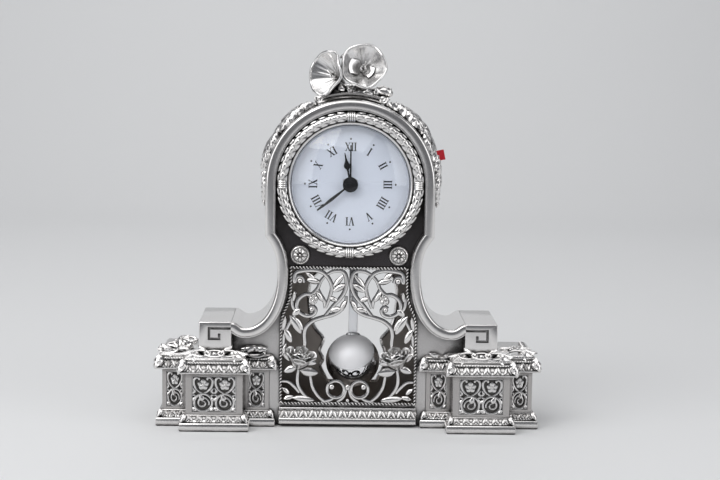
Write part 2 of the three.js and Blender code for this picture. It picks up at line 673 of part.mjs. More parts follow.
function fretwork() {
  const front = PLATE_FRONT - FRET_RELIEF;
  const back = front + FRET_THICKNESS;
  const foot = WINDOW_FOOT_HEIGHT;
  const [footHalf, topHalf, top] = [42.15, 36.3, 86];
  const [roseX, rose] = [27.6, 33.8];
  const [voluteX, volute] = [7.4, 9];
  const across = WINDOW_FOOT_HALF / footHalf;
  const narrowing = WINDOW_TOP_HALF / topHalf - across;
  const up = (WINDOW_TOP - foot) / top;
  const raise = ([x, z]) => [x * (across + narrowing * z / top), foot + z * up];
  const strip = (points, steps = 6) => slab(ribbon(points.map(raise), FRET_WIDTH, steps), front, back);
  const ring = (x, z, radius, count) => {
    const [right, level] = raise([x, z]);
    const outer = circle(right, level, radius * across, count);
    const inner = circle(right, level, radius * across - FRET_WIDTH, count);
    return slab(shapeOf(outer, [inner]), front, back);
  };
  const blade = (from, to, width) => slab(leaf(raise(from), raise(to), width * across), front, back);
  const rim = slab(shapeOf(windowOutline(FIT), [windowOutline(FIT + FRET_FRAME)]), PLATE_FRONT, back);
  const half = [
    // ogee arch over the pendulum
    strip([[1.6, top - 19], [4, top - 26], [9.5, top - 29.4], [16, top - 31], [22, top - 33.5],
      [26.2, top - 38], [27, top - 43], [25.6, top - 47.5], [roseX - 2, rose + 5]], 11),
    // twin stems in the middle of the head
    strip([[2.2, top - 0.6], [1.1, top - 8], [1.4, top - 15], [3.2, top - 22.5], [5, top - 27.5]]),
    // outer head scroll
    strip([[31, top - 8.4], [33.6, top - 5], [30.4, top - 2], [22, top - 1.6], [15.4, top - 4.6],
      [12, top - 11], [13, top - 18.4], [15.4, top - 25.6], [17, top - 31.4]], 11),
    ring(29.6, top - 8.8, 3.1, 7),
    // inner head scroll
    strip([[15, top - 4.8], [11, top - 2.2], [5.6, top - 1.6], [2.2, top - 6.6], [4, top - 14],
      [9.4, top - 22.4], [15.2, top - 30.2]], 9),
    // branch and round scroll beside the head
    strip([[15, top - 5], [19, top - 10.2], [22.6, top - 14.6], [26, top - 17.4]], 4),
    ring(26.2, top - 23.6, 7, 12),
    ring(24.2, top - 26.2, 2.9, 7),
    blade([22, top - 13.6], [16, top - 17.4], 3.6),
    blade([2.2, top - 9], [9.8, top - 13.6], 3.2),
    blade([33.2, top - 17.6], [35.2, top - 9], 3.4),
    strip([[32.6, top - 22], [35.4, top - 18], [35.6, top - 12]], 4),
    // leaves between the arch and the border
    blade([38.6, rose + 10.6], [31, rose + 22.4], 5.6),
    strip([[40.4, rose + 4], [39.6, rose + 11], [36, rose + 15], [32, rose + 16.4], [27.6, top - 30.2]], 6),
    blade([36.6, rose + 12], [28.8, rose + 6.4], 4.4),
    strip([[41, rose - 2.6], [37, rose + 1.4], [roseX + 4, rose + 1]], 4),
    // stalk, leaves and foot of the rose
    strip([[roseX - 0.4, rose], [roseX + 2.8, rose - 13], [roseX + 2.6, rose - 21], [25.6, 5.4],
      [20, 0.8]], 6),
    strip([[roseX, rose - 4], [23.4, rose - 17], [20.6, rose - 25], [15, 2.6], [13, 0.6]], 6),
    blade([roseX, rose - 5.4], [18.4, rose - 9.4], 4.8),
    blade([28.4, rose - 13], [18.8, rose - 17.6], 4.6),
    // corner leaf
    strip([[41, 13], [35, 11.6], [30.6, 7.4], [27, 0.8]], 6),
    blade([36.4, 1.2], [20.4, 4], 4.6),
    // volutes at the foot
    ring(voluteX, volute, 5.9, 12),
    ring(voluteX + 1.6, volute + 0.8, 3, 7),
    strip([[voluteX + 2, volute - 4.6], [13.4, 2.6], [19.4, 0.8]], 4),
    strip([[0.4, volute - 1.4], [2.6, volute - 5], [3, 0.6]], 3),
    strip([[voluteX - 5, volute], [-voluteX + 5, volute]], 1),
  ];
  const [roseRight, roseLevel] = raise([roseX, rose]);
  const bloom = turned([
    [0, back], [ROSE_RADIUS * 0.8, back], [ROSE_RADIUS, front - 0.2 * ROSE_RELIEF],
    [ROSE_RADIUS * 0.72, front - 0.7 * ROSE_RELIEF], [ROSE_RADIUS * 0.3, front - ROSE_RELIEF],
    [0, front - 0.8 * ROSE_RELIEF],
  ], 10).scale(1, 1, 0.78).translate(roseRight, 0, roseLevel);
  const pieces = [...half, bloom];
  const inWindow = slab(shapeOf(windowOutline(FIT)), PLATE_FRONT, back);
  const inRope = slab(shapeOf(windowOutline(ROPE_WIDTH / 2 + FIT)), front - 2 * ROSE_RELIEF, PLATE_FRONT);
  return common(join(rim, ...pieces, ...pieces.map(flipped)), join(inWindow, inRope));
}

function rosette() {
  const face = PLATE_FRONT;
  return turned([
    [0, face], [ROSETTE_RADIUS * 0.9, face], [ROSETTE_RADIUS, face - 0.35 * ROSETTE_RELIEF],
    [ROSETTE_RADIUS * 0.7, face - 0.8 * ROSETTE_RELIEF],
    [ROSETTE_RADIUS * 0.34, face - 0.55 * ROSETTE_RELIEF],
    [ROSETTE_RADIUS * 0.26, face - ROSETTE_RELIEF], [0, face - ROSETTE_RELIEF],
  ], 12).translate(ROSETTE_X, 0, WINDOW_TOP + UNDER_ROSETTE);
}

add("fretwork_panel", fretwork(), SILVER);
addPair("rosette", rosette(), SILVER);

// Pedestals. The plan is a wide block with a narrower one in front of it.

function pedestalPlan(grow) {
  const [inner, outer] = [PEDESTAL_INNER - grow, PEDESTAL_X + WIDE_WIDTH / 2 + grow];
  const [left, right] = [PEDESTAL_X - FRONT_WIDTH / 2 - grow, PEDESTAL_X + FRONT_WIDTH / 2 + grow];
  const [wide, front] = [WIDE_FACE - grow, FRONT_FACE - grow];
  const lap = PLATE_FRONT - FIT; // a spread stops in front of the case plate
  const side = grow > 0 ? [[PEDESTAL_INNER, lap], [inner, lap]] : [];
  return [[PEDESTAL_INNER, BACK], ...side, [inner, wide], [left, wide], [left, front], [right, front],
    [right, wide], [outer, wide], [outer, BACK]];
}

function pedestalPlinth() {
  return stacked([
    { outline: pedestalPlan(PLINTH_SPREAD), z: 0 },
    { outline: pedestalPlan(PLINTH_SPREAD), z: PLINTH_BASE_HEIGHT },
    { outline: pedestalPlan(FIT), z: PLINTH_HEIGHT },
  ]);
}

function pedestalCap() {
  const roof = CAP_FOOT + CAP_EDGE_HEIGHT + CAP_BAND_HEIGHT;
  return stacked([
    { outline: pedestalPlan(CAP_SPREAD - FIT), z: CAP_FOOT },
    { outline: pedestalPlan(CAP_SPREAD), z: CAP_FOOT + CAP_EDGE_HEIGHT },
    { outline: pedestalPlan(CAP_BAND_SPREAD), z: roof },
    { outline: pedestalPlan(CAP_TOP_SPREAD), z: CAP_TOP },
  ]);
}

const FIELDS = panelFields();

// Each field is the middle, width, height and outward direction of a panel on the right pedestal.
function panelFields() {
  const level = BODY_FOOT + BODY_HEIGHT / 2;
  const returnWidth = (WIDE_WIDTH - FRONT_WIDTH) / 2;
  const narrow = returnWidth - RETURN_POSTS;
  const offset = (FRONT_WIDTH + returnWidth) / 2;
  const broad = FRONT_WIDTH - 2 * PANEL_POST;
  const deep = BACK - WIDE_FACE - 2 * PANEL_POST;
  const side = [PEDESTAL_X + WIDE_WIDTH / 2, (BACK + WIDE_FACE) / 2, level];
  return [
    { name: "front", place: [PEDESTAL_X, FRONT_FACE, level], width: broad, turn: 0, columns: 2 },
    { name: "outer", place: [PEDESTAL_X + offset, WIDE_FACE, level], width: narrow, turn: 0, columns: 1 },
    { name: "inner", place: [PEDESTAL_X - offset, WIDE_FACE, level], width: narrow, turn: 0, columns: 1 },
    { name: "side", place: side, width: deep, turn: 90, columns: 3 },
  ];
}

function placed(geometry, { place, turn }) {
  return closed(geometry.clone().rotateZ(THREE.MathUtils.degToRad(turn)).translate(...place));
}

function pedestalBody() {
  const outline = pedestalPlan(0);
  const core = stacked([{ outline, z: BODY_FOOT }, { outline, z: CAP_FOOT }]);
  const pockets = FIELDS.map((field) => {
    const [half, rise] = [field.width / 2, PANEL_HEIGHT / 2];
    return placed(box(-half, half, -PAST, POCKET_DEPTH, -rise, rise), field);
  });
  return cut(core, ...pockets);
}

function filigree(field) {
  const [half, rise] = [field.width / 2 - FIT, PANEL_HEIGHT / 2 - FIT];
  const ground = POCKET_DEPTH - PANEL_PLATE;
  const cell = (2 * half) / field.columns;
  const radius = Math.min(cell, rise) / 2;
  const scrolls = [];
  for (let column = 0; column < field.columns; column += 1) {
    for (const row of [-1, 1]) {
      const [x, z] = [-half + cell * (column + 0.5), (row * rise) / 2];
      const ring = shapeOf(circle(x, z, radius, 10), [circle(x, z, radius - SCROLL_WIDTH, 10)]);
      scrolls.push(slab(ring, ground - SCROLL_RELIEF, ground + PANEL_PLATE / 2));
    }
  }
  return placed(join(box(-half, half, ground, POCKET_DEPTH, -rise, rise), ...scrolls), field);
}

addPair("pedestal_plinth", pedestalPlinth(), SILVER);
addPair("pedestal_body", pedestalBody(), SILVER);
addPair("pedestal_cap", pedestalCap(), SILVER);
for (const field of FIELDS) {
  addPair(`filigree_${field.name}`, filigree(field), DARK_SILVER);
}

// Bezel, lens and dial

function bezelRing() {
  const crest = PLATE_FRONT - BEZEL_RELIEF;
  const band = BEZEL_RADIUS - BEZEL_BAND;
  const seat = LENS_RADIUS + FIT;
  return turned([
    [BEZEL_RADIUS, PLATE_FRONT], [BEZEL_RADIUS, PLATE_FRONT - 0.55 * BEZEL_RELIEF],
    [BEZEL_RADIUS - 0.25 * BEZEL_BAND, PLATE_FRONT - 0.88 * BEZEL_RELIEF],
    [BEZEL_RADIUS - 0.55 * BEZEL_BAND, crest],
    [band, PLATE_FRONT - 0.84 * BEZEL_RELIEF], [band - 0.2 * BEZEL_COVE, PLATE_FRONT - 0.66 * BEZEL_RELIEF],
    [seat, PLATE_FRONT - LENS_SEAT - LENS_THICKNESS], [seat, PLATE_FRONT],
    [BEZEL_RADIUS, PLATE_FRONT],
  ], 48);
}

function lens() {
  const rim = PLATE_FRONT - LENS_SEAT;
  const dome = (radius, rise, foot) => {
    const sphere = (radius * radius + rise * rise) / (2 * rise);
    return Array.from({ length: LENS_STEPS + 1 }, (_, i) => {
      const r = (i / LENS_STEPS) * radius;
      return [r, foot - rise + sphere - Math.sqrt(sphere * sphere - r * r)];
    });
  };
  const bore = LENS_RADIUS - LENS_THICKNESS;
  const outer = dome(LENS_RADIUS, LENS_RISE, rim - LENS_THICKNESS);
  const inner = dome(bore, LENS_RISE, rim).reverse();
  return turned([...outer, [LENS_RADIUS, PLATE_FRONT], [bore, PLATE_FRONT], ...inner], 26);
}

function shaftNut() {
  const bore = discTurned(BUSH_RADIUS + FIT, NUT_FRONT - PAST, DIAL_FRONT + PAST, 16);
  return cut(discTurned(NUT_RADIUS, NUT_FRONT, DIAL_FRONT, 6), bore);
}

const SECOND_PIPE = ARBOR_RADIUS + RUN;
const MINUTE_PIPE = SECOND_PIPE + PIPE_WALL;
const HOUR_BORE = MINUTE_PIPE + RUN;
const HOUR_PIPE = HOUR_BORE + PIPE_WALL;
const BUSH_BORE = HOUR_PIPE + RUN;
const BUSH_RADIUS = BUSH_BORE + PIPE_WALL;
const NUT_FRONT = DIAL_FRONT - NUT_THICKNESS;
const HOUR_HAND_BACK = NUT_FRONT - FIT;
const MINUTE_HAND_BACK = HOUR_HAND_BACK - HAND_PITCH;
const SECOND_HAND_BACK = MINUTE_HAND_BACK - HAND_PITCH;

add("bezel_ring", onDialAxis(bezelRing()), SILVER);
add("lens", onDialAxis(lens()), GLASS);
add("dial", onDialAxis(ringTurned(BUSH_RADIUS + FIT, DIAL_RADIUS, DIAL_FRONT, DIAL_BACK, 40)), WHITE);
add("shaft_nut", onDialAxis(shaftNut()), STEEL);

// Hands, drawn pointing up and turned clockwise to their time

function hand(outline, pipe, back, angle) {
  const front = back - HAND_THICKNESS;
  const blade = join(slab(outline, front, back), discTurned(pipe + HAND_HUB_WALL, front, back, 16));
  const hole = discTurned(pipe + HAND_FIT, front - PAST, back + PAST, 12);
  return onDialAxis(cut(blade, hole).rotateY(THREE.MathUtils.degToRad(angle)));
}

// A straight stalk, a spade and a long point.
function hourOutline() {
  const tip = HOUR_HAND_LENGTH;
  return shapeOf(mirrored([[HAND_STALK, 0], [HAND_STALK, tip * 0.52], [SPADE_HALF, tip * 0.62],
    [SPADE_HALF * 0.8, tip * 0.72], [HAND_STALK * 0.8, tip * 0.8], [0, tip]]));
}

function minuteOutline() {
  const tip = MINUTE_HAND_LENGTH;
  return shapeOf(mirrored([[HAND_STALK * 0.7, 0], [MINUTE_HALF, tip * 0.66], [0, tip]]));
}

function secondHand() {
  const back = SECOND_HAND_BACK;
  const pointer = shapeOf(mirrored([[0, -SECOND_HUB_RADIUS], [POINTER_HALF, 0],
    [POINTER_HALF, SECOND_HAND_LENGTH * 0.9], [0, SECOND_HAND_LENGTH]]));
  const hub = discTurned(SECOND_HUB_RADIUS, back - HAND_THICKNESS, back, 20);
  const bore = discTurned(ARBOR_RADIUS + HAND_FIT, back - HAND_THICKNESS / 2, back + PAST, 10);
  return onDialAxis(cut(join(slab(pointer, back - HAND_THICKNESS, back), hub), bore));
}

const MINUTE_ANGLE = MINUTES * 6;
const HOUR_ANGLE = HOURS * 30 + MINUTES / 2;
add("hour_hand", hand(hourOutline(), HOUR_PIPE, HOUR_HAND_BACK, HOUR_ANGLE), BLACK);
add("minute_hand", hand(minuteOutline(), MINUTE_PIPE, MINUTE_HAND_BACK, MINUTE_ANGLE), BLACK);
add("second_hand", secondHand(), BLACK);

// Movement. Wheels lie in layers behind the front wall, and each mesh has a tooth of the
// pinion in a gap of the wheel on the line between their axes.

const MOVEMENT_FRONT = PLATE_BACK;
const MOVEMENT_BACK = MOVEMENT_FRONT + MOVEMENT_DEPTH;
const HOUR_LAYER = MOVEMENT_FRONT + MOVEMENT_WALL + FIT;
const CANNON_LAYER = HOUR_LAYER + LAYER;
const CENTRE_LAYER = CANNON_LAYER + 2 * LAYER;
const THIRD_LAYER = CENTRE_LAYER + 2 * LAYER;
const [UP, DOWN] = [Math.PI / 2, -Math.PI / 2];

// Wheel with straight-flanked teeth; a tooth points along the given angle, or a gap if gap is set.
function gear(teeth, distance, mate, toothAngle, gap, front, length) {
  const size = (2 * distance) / (teeth + mate);
  const pitch = (2 * Math.PI) / teeth;
  const [root, tip] = [(teeth / 2 - DEDENDUM) * size, (teeth / 2 + ADDENDUM) * size];
  const start = toothAngle + (gap ? pitch / 2 : 0);
  const tooth = [[root, -ROOT_SHARE], [tip, -TIP_SHARE], [tip, TIP_SHARE], [root, ROOT_SHARE]];
  const outline = [];
  for (let i = 0; i < teeth; i += 1) {
    for (const [radius, share] of tooth) {
      const angle = start + (i + share) * pitch;
      outline.push([radius * Math.cos(angle), radius * Math.sin(angle)]);
    }
  }
  return slab(shapeOf(outline), front, front + length);
}

function secondArbor() {
  const front = THIRD_LAYER - PINION_LEAD;
  const pinion = gear(SECOND_PINION, TRAIN_DISTANCE, THIRD_WHEEL, UP, false, front, PINION_LENGTH);
  const tip = SECOND_HAND_BACK - HAND_THICKNESS / 2 + HAND_FIT;
  return join(discTurned(ARBOR_RADIUS, tip, front + PINION_LENGTH + ARBOR_TAIL, 10), pinion);
}

function centreWheel() {
  const [tip, tail] = [MINUTE_HAND_BACK - HAND_THICKNESS, CENTRE_LAYER + GEAR_THICKNESS];
  const front = CANNON_LAYER - PINION_LEAD;
  const wheel = gear(CENTRE_WHEEL, TRAIN_DISTANCE, THIRD_PINION, UP, true, CENTRE_LAYER, GEAR_THICKNESS);
  const cannon = gear(CANNON_PINION, MOTION_DISTANCE, MINUTE_WHEEL, DOWN, false, front, PINION_LENGTH);
  const pipe = discTurned(MINUTE_PIPE, tip, tail, 12);
  return cut(join(wheel, cannon, pipe), discTurned(SECOND_PIPE, tip - PAST, tail + PAST, 12));
}

function hourWheel() {
  const [tip, tail] = [HOUR_HAND_BACK - HAND_THICKNESS, HOUR_LAYER + GEAR_THICKNESS];
  const wheel = gear(HOUR_WHEEL, MOTION_DISTANCE, MINUTE_PINION, DOWN, true, HOUR_LAYER, GEAR_THICKNESS);
  const pipe = discTurned(HOUR_PIPE, tip, tail, 12);
  return cut(join(wheel, pipe), discTurned(HOUR_BORE, tip - PAST, tail + PAST, 12));
}

const KNOB_FRONT = MOVEMENT_BACK + MOVEMENT_WALL + KNOB_STANDOFF;

function minuteWheel() {
  const wheel = gear(MINUTE_WHEEL, MOTION_DISTANCE, CANNON_PINION, UP, true, CANNON_LAYER, GEAR_THICKNESS);
  const length = LAYER + GEAR_THICKNESS / 2;
  const pinion = gear(MINUTE_PINION, MOTION_DISTANCE, HOUR_WHEEL, UP, false, HOUR_LAYER, length);
  const arbor = discTurned(ARBOR_RADIUS, HOUR_LAYER, KNOB_FRONT + KNOB_LENGTH / 2, 10);
  return join(wheel, pinion, arbor).translate(0, 0, -MOTION_DISTANCE);
}

function thirdWheel() {
  const wheel = gear(THIRD_WHEEL, TRAIN_DISTANCE, SECOND_PINION, DOWN, true, THIRD_LAYER, GEAR_THICKNESS);
  const front = CENTRE_LAYER - PINION_LEAD;
  const length = THIRD_LAYER + GEAR_THICKNESS / 2 - front;
  const pinion = gear(THIRD_PINION, TRAIN_DISTANCE, CENTRE_WHEEL, DOWN, false, front, length);
  const arbor = discTurned(ARBOR_RADIUS, HOUR_LAYER, MOVEMENT_BACK - FIT, 10);
  return join(wheel, pinion, arbor).translate(0, 0, TRAIN_DISTANCE);
}

function settingKnob() {
  const flutes = Array.from({ length: KNOB_FLUTES * 2 }, (_, i) => {
    const angle = (i / KNOB_FLUTES) * Math.PI;
    const radius = i % 2 ? KNOB_RADIUS - FLUTE_DEPTH : KNOB_RADIUS;
    return [radius * Math.cos(angle), radius * Math.sin(angle)];
  });
  const grip = slab(shapeOf(flutes), KNOB_FRONT, KNOB_FRONT + KNOB_LENGTH);
  const floor = KNOB_FRONT + KNOB_LENGTH / 2 + HAND_FIT;
  const bore = discTurned(ARBOR_RADIUS + HAND_FIT, KNOB_FRONT - PAST, floor, 10);
  return cut(grip, bore).translate(0, 0, -MOTION_DISTANCE);
}

function movementCase() {
  const half = MOVEMENT_HALF;
  const inside = half - MOVEMENT_WALL;
  const shell = box(-half, half, MOVEMENT_FRONT, MOVEMENT_BACK, -half, half);
  const room = box(-inside, inside, MOVEMENT_FRONT + MOVEMENT_WALL, MOVEMENT_BACK + PAST, -inside, inside);
  const bush = discTurned(BUSH_RADIUS, NUT_FRONT + FIT, MOVEMENT_FRONT + MOVEMENT_WALL / 2, 16);
  const bore = discTurned(BUSH_BORE, NUT_FRONT - PAST, MOVEMENT_FRONT + MOVEMENT_WALL + PAST, 16);
  return cut(join(cut(shell, room), bush), bore);
}

function movementCover() {
  const half = MOVEMENT_HALF;
  const back = MOVEMENT_BACK + MOVEMENT_WALL;
  const plate = box(-half, half, MOVEMENT_BACK, back, -half, half);
  const hole = discTurned(ARBOR_RADIUS + RUN, MOVEMENT_BACK - PAST, back + PAST, 12);
  return cut(plate, hole.translate(0, 0, -MOTION_DISTANCE));
}

function stepMotor() {
  const inside = MOVEMENT_HALF - MOVEMENT_WALL;
  const [x, z] = [inside - MOTOR_SIZE / 2 - FIT, -inside + MOTOR_SIZE / 2 + FIT];
  const half = MOTOR_SIZE / 2;
  const front = MOVEMENT_FRONT + MOVEMENT_WALL;
  const core = box(x - half, x + half, front, front + MOTOR_HEIGHT, z - half, z + half);
  const coil = discTurned(MOTOR_COIL_RADIUS, front, front + MOTOR_HEIGHT + MOTOR_COIL_RISE, 12);
  return join(core, coil.translate(x, 0, z));
}

add("second_arbor", onDialAxis(secondArbor()), STEEL);
add("centre_wheel", onDialAxis(centreWheel()), GEAR);
add("hour_wheel", onDialAxis(hourWheel()), GEAR);
add("minute_wheel", onDialAxis(minuteWheel()), GEAR);
add("third_wheel", onDialAxis(thirdWheel()), GEAR);
add("setting_knob", onDialAxis(settingKnob()), MOULDED);
add("movement_case", onDialAxis(movementCase()), MOULDED);
add("movement_cover", onDialAxis(movementCover()), MOULDED);
add("step_motor", onDialAxis(stepMotor()), COPPER);

// Battery tray behind the movement, its cell and contacts, and the tab that keeps them apart

const TRAY_FRONT = MOVEMENT_BACK + MOVEMENT_WALL;
const TRAY_FLOOR = TRAY_FRONT + TRAY_WALL;
const BATTERY_Y = TRAY_FLOOR + FIT + BATTERY_RADIUS;
const TRAY_BACK = BATTERY_Y + BATTERY_RADIUS;
const BATTERY_END = BATTERY_LENGTH / 2;
const TAB_X = BATTERY_END + FIT;
const CONTACT_RIGHT = TAB_X + TAB_THICKNESS + FIT;
const TRAY_HALF = CONTACT_RIGHT + CONTACT_THICKNESS;
const TRAY_RISE = BATTERY_RADIUS + FIT;

function batteryTray() {
  const [half, rise] = [TRAY_HALF + TRAY_WALL, TRAY_RISE + TRAY_WALL];
  const shell = box(-half, half, TRAY_FRONT, TRAY_BACK, -rise, rise);
  return cut(shell, box(-TRAY_HALF, TRAY_HALF, TRAY_FLOOR, TRAY_BACK + PAST, -TRAY_RISE, TRAY_RISE));
}

function battery() {
  const [nub, rim] = [BATTERY_NUB_RADIUS, BATTERY_END - BATTERY_NUB_LENGTH];
  const profile = [[0, -BATTERY_END], [BATTERY_RADIUS, -BATTERY_END], [BATTERY_RADIUS, rim],
    [nub, rim], [nub, BATTERY_END], [0, BATTERY_END]];
  return turned(profile, 20).rotateZ(-Math.PI / 2).translate(0, BATTERY_Y, 0);
}

function contact(inner, outer) {
  const half = CONTACT_SIZE / 2;
  return box(inner, outer, BATTERY_Y - half, BATTERY_Y + half, -half, half);
}

function pullTab() {
  const half = TAB_WIDTH / 2;
  const back = PANEL_BACK + FIT;
  const slope = THREE.MathUtils.degToRad(TAB_SLOPE);
  const length = (TAB_REACH - TAB_X) / Math.cos(slope);
  const outside = back + TAB_THICKNESS;
  const tongue = box(TAB_X, TAB_X + TAB_THICKNESS, BATTERY_Y - half, outside, -half, half);
  const strip = box(0, length, back, outside, -half, half).rotateY(-slope);
  return join(tongue, strip.translate(TAB_X, 0, 0));
}

const cell = new THREE.Group();
cell.position.z = DIAL_LEVEL + BATTERY_RISE;
clock.add(cell);
add("battery_tray", batteryTray(), MOULDED, cell);
add("battery", battery(), CELL, cell);
add("contact_positive", contact(CONTACT_RIGHT, TRAY_HALF), STEEL, cell);
add("contact_negative", contact(-TRAY_HALF, -BATTERY_END - FIT), STEEL, cell);
add("pull_tab", pullTab(), RED, cell);

// Pendulum, hung under the movement

const PIVOT_LEVEL = DIAL_LEVEL - MOVEMENT_HALF - PIVOT_DROP;
const ROD_BACK = PENDULUM_Y + ROD_THICKNESS / 2;
const COIL_FRONT = ROD_BACK + MAGNET_THICKNESS + COIL_GAP;
const BRACKET_BACK = COIL_FRONT + COIL_LENGTH;
const BRACKET_FRONT = PENDULUM_Y - (BRACKET_BACK - PENDULUM_Y);
const COIL_LEVEL = PIVOT_LEVEL - COIL_DROP;

function pendulumBracket() {
  const top = DIAL_LEVEL - MOVEMENT_HALF;
  const wall = BRACKET_WALL;
  const half = HUB_RADIUS + wall;
  const [front, back] = [BRACKET_FRONT - wall, BRACKET_BACK + wall];
  const roof = box(-BRACKET_HALF, BRACKET_HALF, front, back, top - wall, top);
  const frontEar = box(-half, half, front, BRACKET_FRONT, PIVOT_LEVEL - half, top - wall / 2);
  const backEar = box(-half, half, BRACKET_BACK, back, COIL_LEVEL - COIL_RADIUS, top - wall / 2);
  const hole = discTurned(PIN_RADIUS + HAND_FIT, front - PAST, back + PAST, 12);
  return cut(join(roof, frontEar, backEar), hole.translate(0, 0, PIVOT_LEVEL));
}

function pendulumRod() {
  const bore = PIN_RADIUS + RUN;
  const [half, deep] = [ROD_WIDTH / 2, HUB_LENGTH / 2];
  const hub = ringTurned(bore, HUB_RADIUS, PENDULUM_Y - deep, PENDULUM_Y + deep, 16);
  const foot = BOB_HEIGHT + BOB_RADIUS - ROD_IN_BOB;
  const top = PIVOT_LEVEL - (bore + HUB_RADIUS) / 2;
  const strip = box(-half, half, PENDULUM_Y - ROD_THICKNESS / 2, ROD_BACK, foot, top);
  return join(hub.translate(0, 0, PIVOT_LEVEL), strip);
}

function pendulumBob() {
  const ball = new THREE.SphereGeometry(BOB_RADIUS, 22, 13).rotateX(UP).translate(0, PENDULUM_Y, BOB_HEIGHT);
  const [half, deep] = [ROD_WIDTH / 2 + FIT, ROD_THICKNESS / 2 + FIT];
  const top = BOB_HEIGHT + BOB_RADIUS;
  const foot = top - ROD_IN_BOB - FIT;
  return cut(ball, box(-half, half, PENDULUM_Y - deep, PENDULUM_Y + deep, foot, top + PAST));
}

const hanging = new THREE.Group();
hanging.position.x = PENDULUM_X;
clock.add(hanging);
add("pendulum_bracket", pendulumBracket(), MOULDED, hanging);
function lying(radius, front, back, level) {
  return discTurned(radius, front, back, 12).translate(0, 0, level);
}

const [PIN_FRONT, PIN_BACK] = [BRACKET_FRONT - BRACKET_WALL, BRACKET_BACK + BRACKET_WALL];
add("pivot_pin", lying(PIN_RADIUS, PIN_FRONT, PIN_BACK, PIVOT_LEVEL), STEEL, hanging);
add("drive_coil", lying(COIL_RADIUS, COIL_FRONT, BRACKET_BACK, COIL_LEVEL), COPPER, hanging);
add("drive_magnet", lying(MAGNET_RADIUS, ROD_BACK, ROD_BACK + MAGNET_THICKNESS, COIL_LEVEL), STEEL, hanging);
add("pendulum_rod", pendulumRod(), STEEL, hanging);
add("pendulum_bob", pendulumBob(), CHROME, hanging);

// Crest of blossoms and the garlands beside it

const RIGHT_OPENING = new THREE.Vector3(...RIGHT_FACING).normalize();
const LEFT_OPENING = new THREE.Vector3(...LEFT_FACING).normalize();
const RIGHT_ROOT = onHoodTop(RIGHT_BLOSSOM);
const LEFT_ROOT = onHoodTop(LEFT_BLOSSOM);

function onHoodTop([x, y, rise]) {
  return new THREE.Vector3(x, y, HOOD_TOP + rise);
}

function blossom(root, opening) {
  const [radius, depth, wall] = [BLOSSOM_RADIUS, BLOSSOM_DEPTH, BLOSSOM_WALL];
  const shares = [[0, 0], [0.36, 0.08], [0.68, 0.36], [0.88, 0.7], [1, 1]];
  const outer = shares.map(([r, y]) => [r * radius, y * depth]);
  const inner = outer.map(([r, y], i) => [Math.max(r - wall, 0), y + wall * (1 - i / 4)]).reverse();
  const cup = new THREE.LatheGeometry([...outer, ...inner].map(([r, y]) => new THREE.Vector2(r, y)), 20);
  const at = cup.getAttribute("position");
  for (let i = 0; i < at.count; i += 1) {
    const angle = Math.atan2(at.getZ(i), at.getX(i));
    const petal = 1 + PETAL_WAVE * Math.cos(PETALS * angle) * (at.getY(i) / depth);
    at.setXYZ(i, at.getX(i) * petal, at.getY(i), at.getZ(i) * petal);
  }
  const turn = new THREE.Quaternion().setFromUnitVectors(new THREE.Vector3(0, 1, 0), opening);
  return closed(cup.applyQuaternion(turn).translate(root.x, root.y, root.z));
}

function stem(root, opening) {
  const turn = new THREE.Quaternion().setFromUnitVectors(new THREE.Vector3(0, 1, 0), opening);
  const rod = new THREE.CylinderGeometry(STEM_RADIUS * 0.7, STEM_RADIUS, STEM_LENGTH, 8);
  rod.translate(0, -STEM_LENGTH / 2 - FIT, 0).applyQuaternion(turn);
  return closed(rod.translate(root.x, root.y, root.z));
}

function crestMount() {
  const spread = THREE.MathUtils.degToRad(CREST_SPREAD);
  const arc = (radius) => Array.from({ length: 9 }, (_, i) => {
    const angle = UP - spread + (i / 8) * 2 * spread;
    return [radius * Math.cos(angle), DIAL_LEVEL + radius * Math.sin(angle)];
  });
  const [low, high] = [HOOD_RADIUS + FIT, HOOD_RADIUS + CREST_THICKNESS];
  const [front, back] = [CREST_SETBACK - CREST_DEPTH * 0.75, CREST_SETBACK + CREST_DEPTH / 4];
  const mound = slab(shapeOf([...arc(low), ...arc(high).reverse()]), front, back);
  const knot = new THREE.SphereGeometry(1, 12, 8).scale(...CREST_KNOT);
  knot.translate(0, CREST_SETBACK, HOOD_TOP + CREST_THICKNESS + CREST_RISE);
  return join(mound, knot, stem(RIGHT_ROOT, RIGHT_OPENING), stem(LEFT_ROOT, LEFT_OPENING));
}

function garland() {
  const top = THREE.MathUtils.degToRad(90 - CREST_SPREAD - GARLAND_GAP);
  const straight = GARLAND_FOOT_DROP;
  const length = straight + top * HOOD_RADIUS;
  const along = (distance, out) => {
    const radius = HOOD_RADIUS + FIT + out;
    if (distance < straight) {
      return [radius, DIAL_LEVEL - straight + distance];
    }
    const angle = (distance - straight) / HOOD_RADIUS;
    return [radius * Math.cos(angle), DIAL_LEVEL + radius * Math.sin(angle)];
  };
  const steps = GARLAND_LEAVES * 3;
  const inner = Array.from({ length: steps + 1 }, (_, i) => along((i / steps) * length, 0));
  const outer = Array.from({ length: steps + 1 }, (_, i) => {
    const swell = THREE.MathUtils.lerp(GARLAND_FOOT_SHARE, 1, i / steps);
    const share = i % 3 === 0 ? GARLAND_NOTCH_SHARE : 1;
    return along((i / steps) * length, GARLAND_THICKNESS * swell * share);
  });
  return slab(shapeOf([...outer, ...inner.reverse()]), -GARLAND_DEPTH / 2, GARLAND_DEPTH / 2);
}

add("crest_mount", crestMount(), SILVER);
add("blossom_right", blossom(RIGHT_ROOT, RIGHT_OPENING), SILVER);
add("blossom_left", blossom(LEFT_ROOT, LEFT_OPENING), SILVER);
addPair("garland", garland(), SILVER);

export default clock;
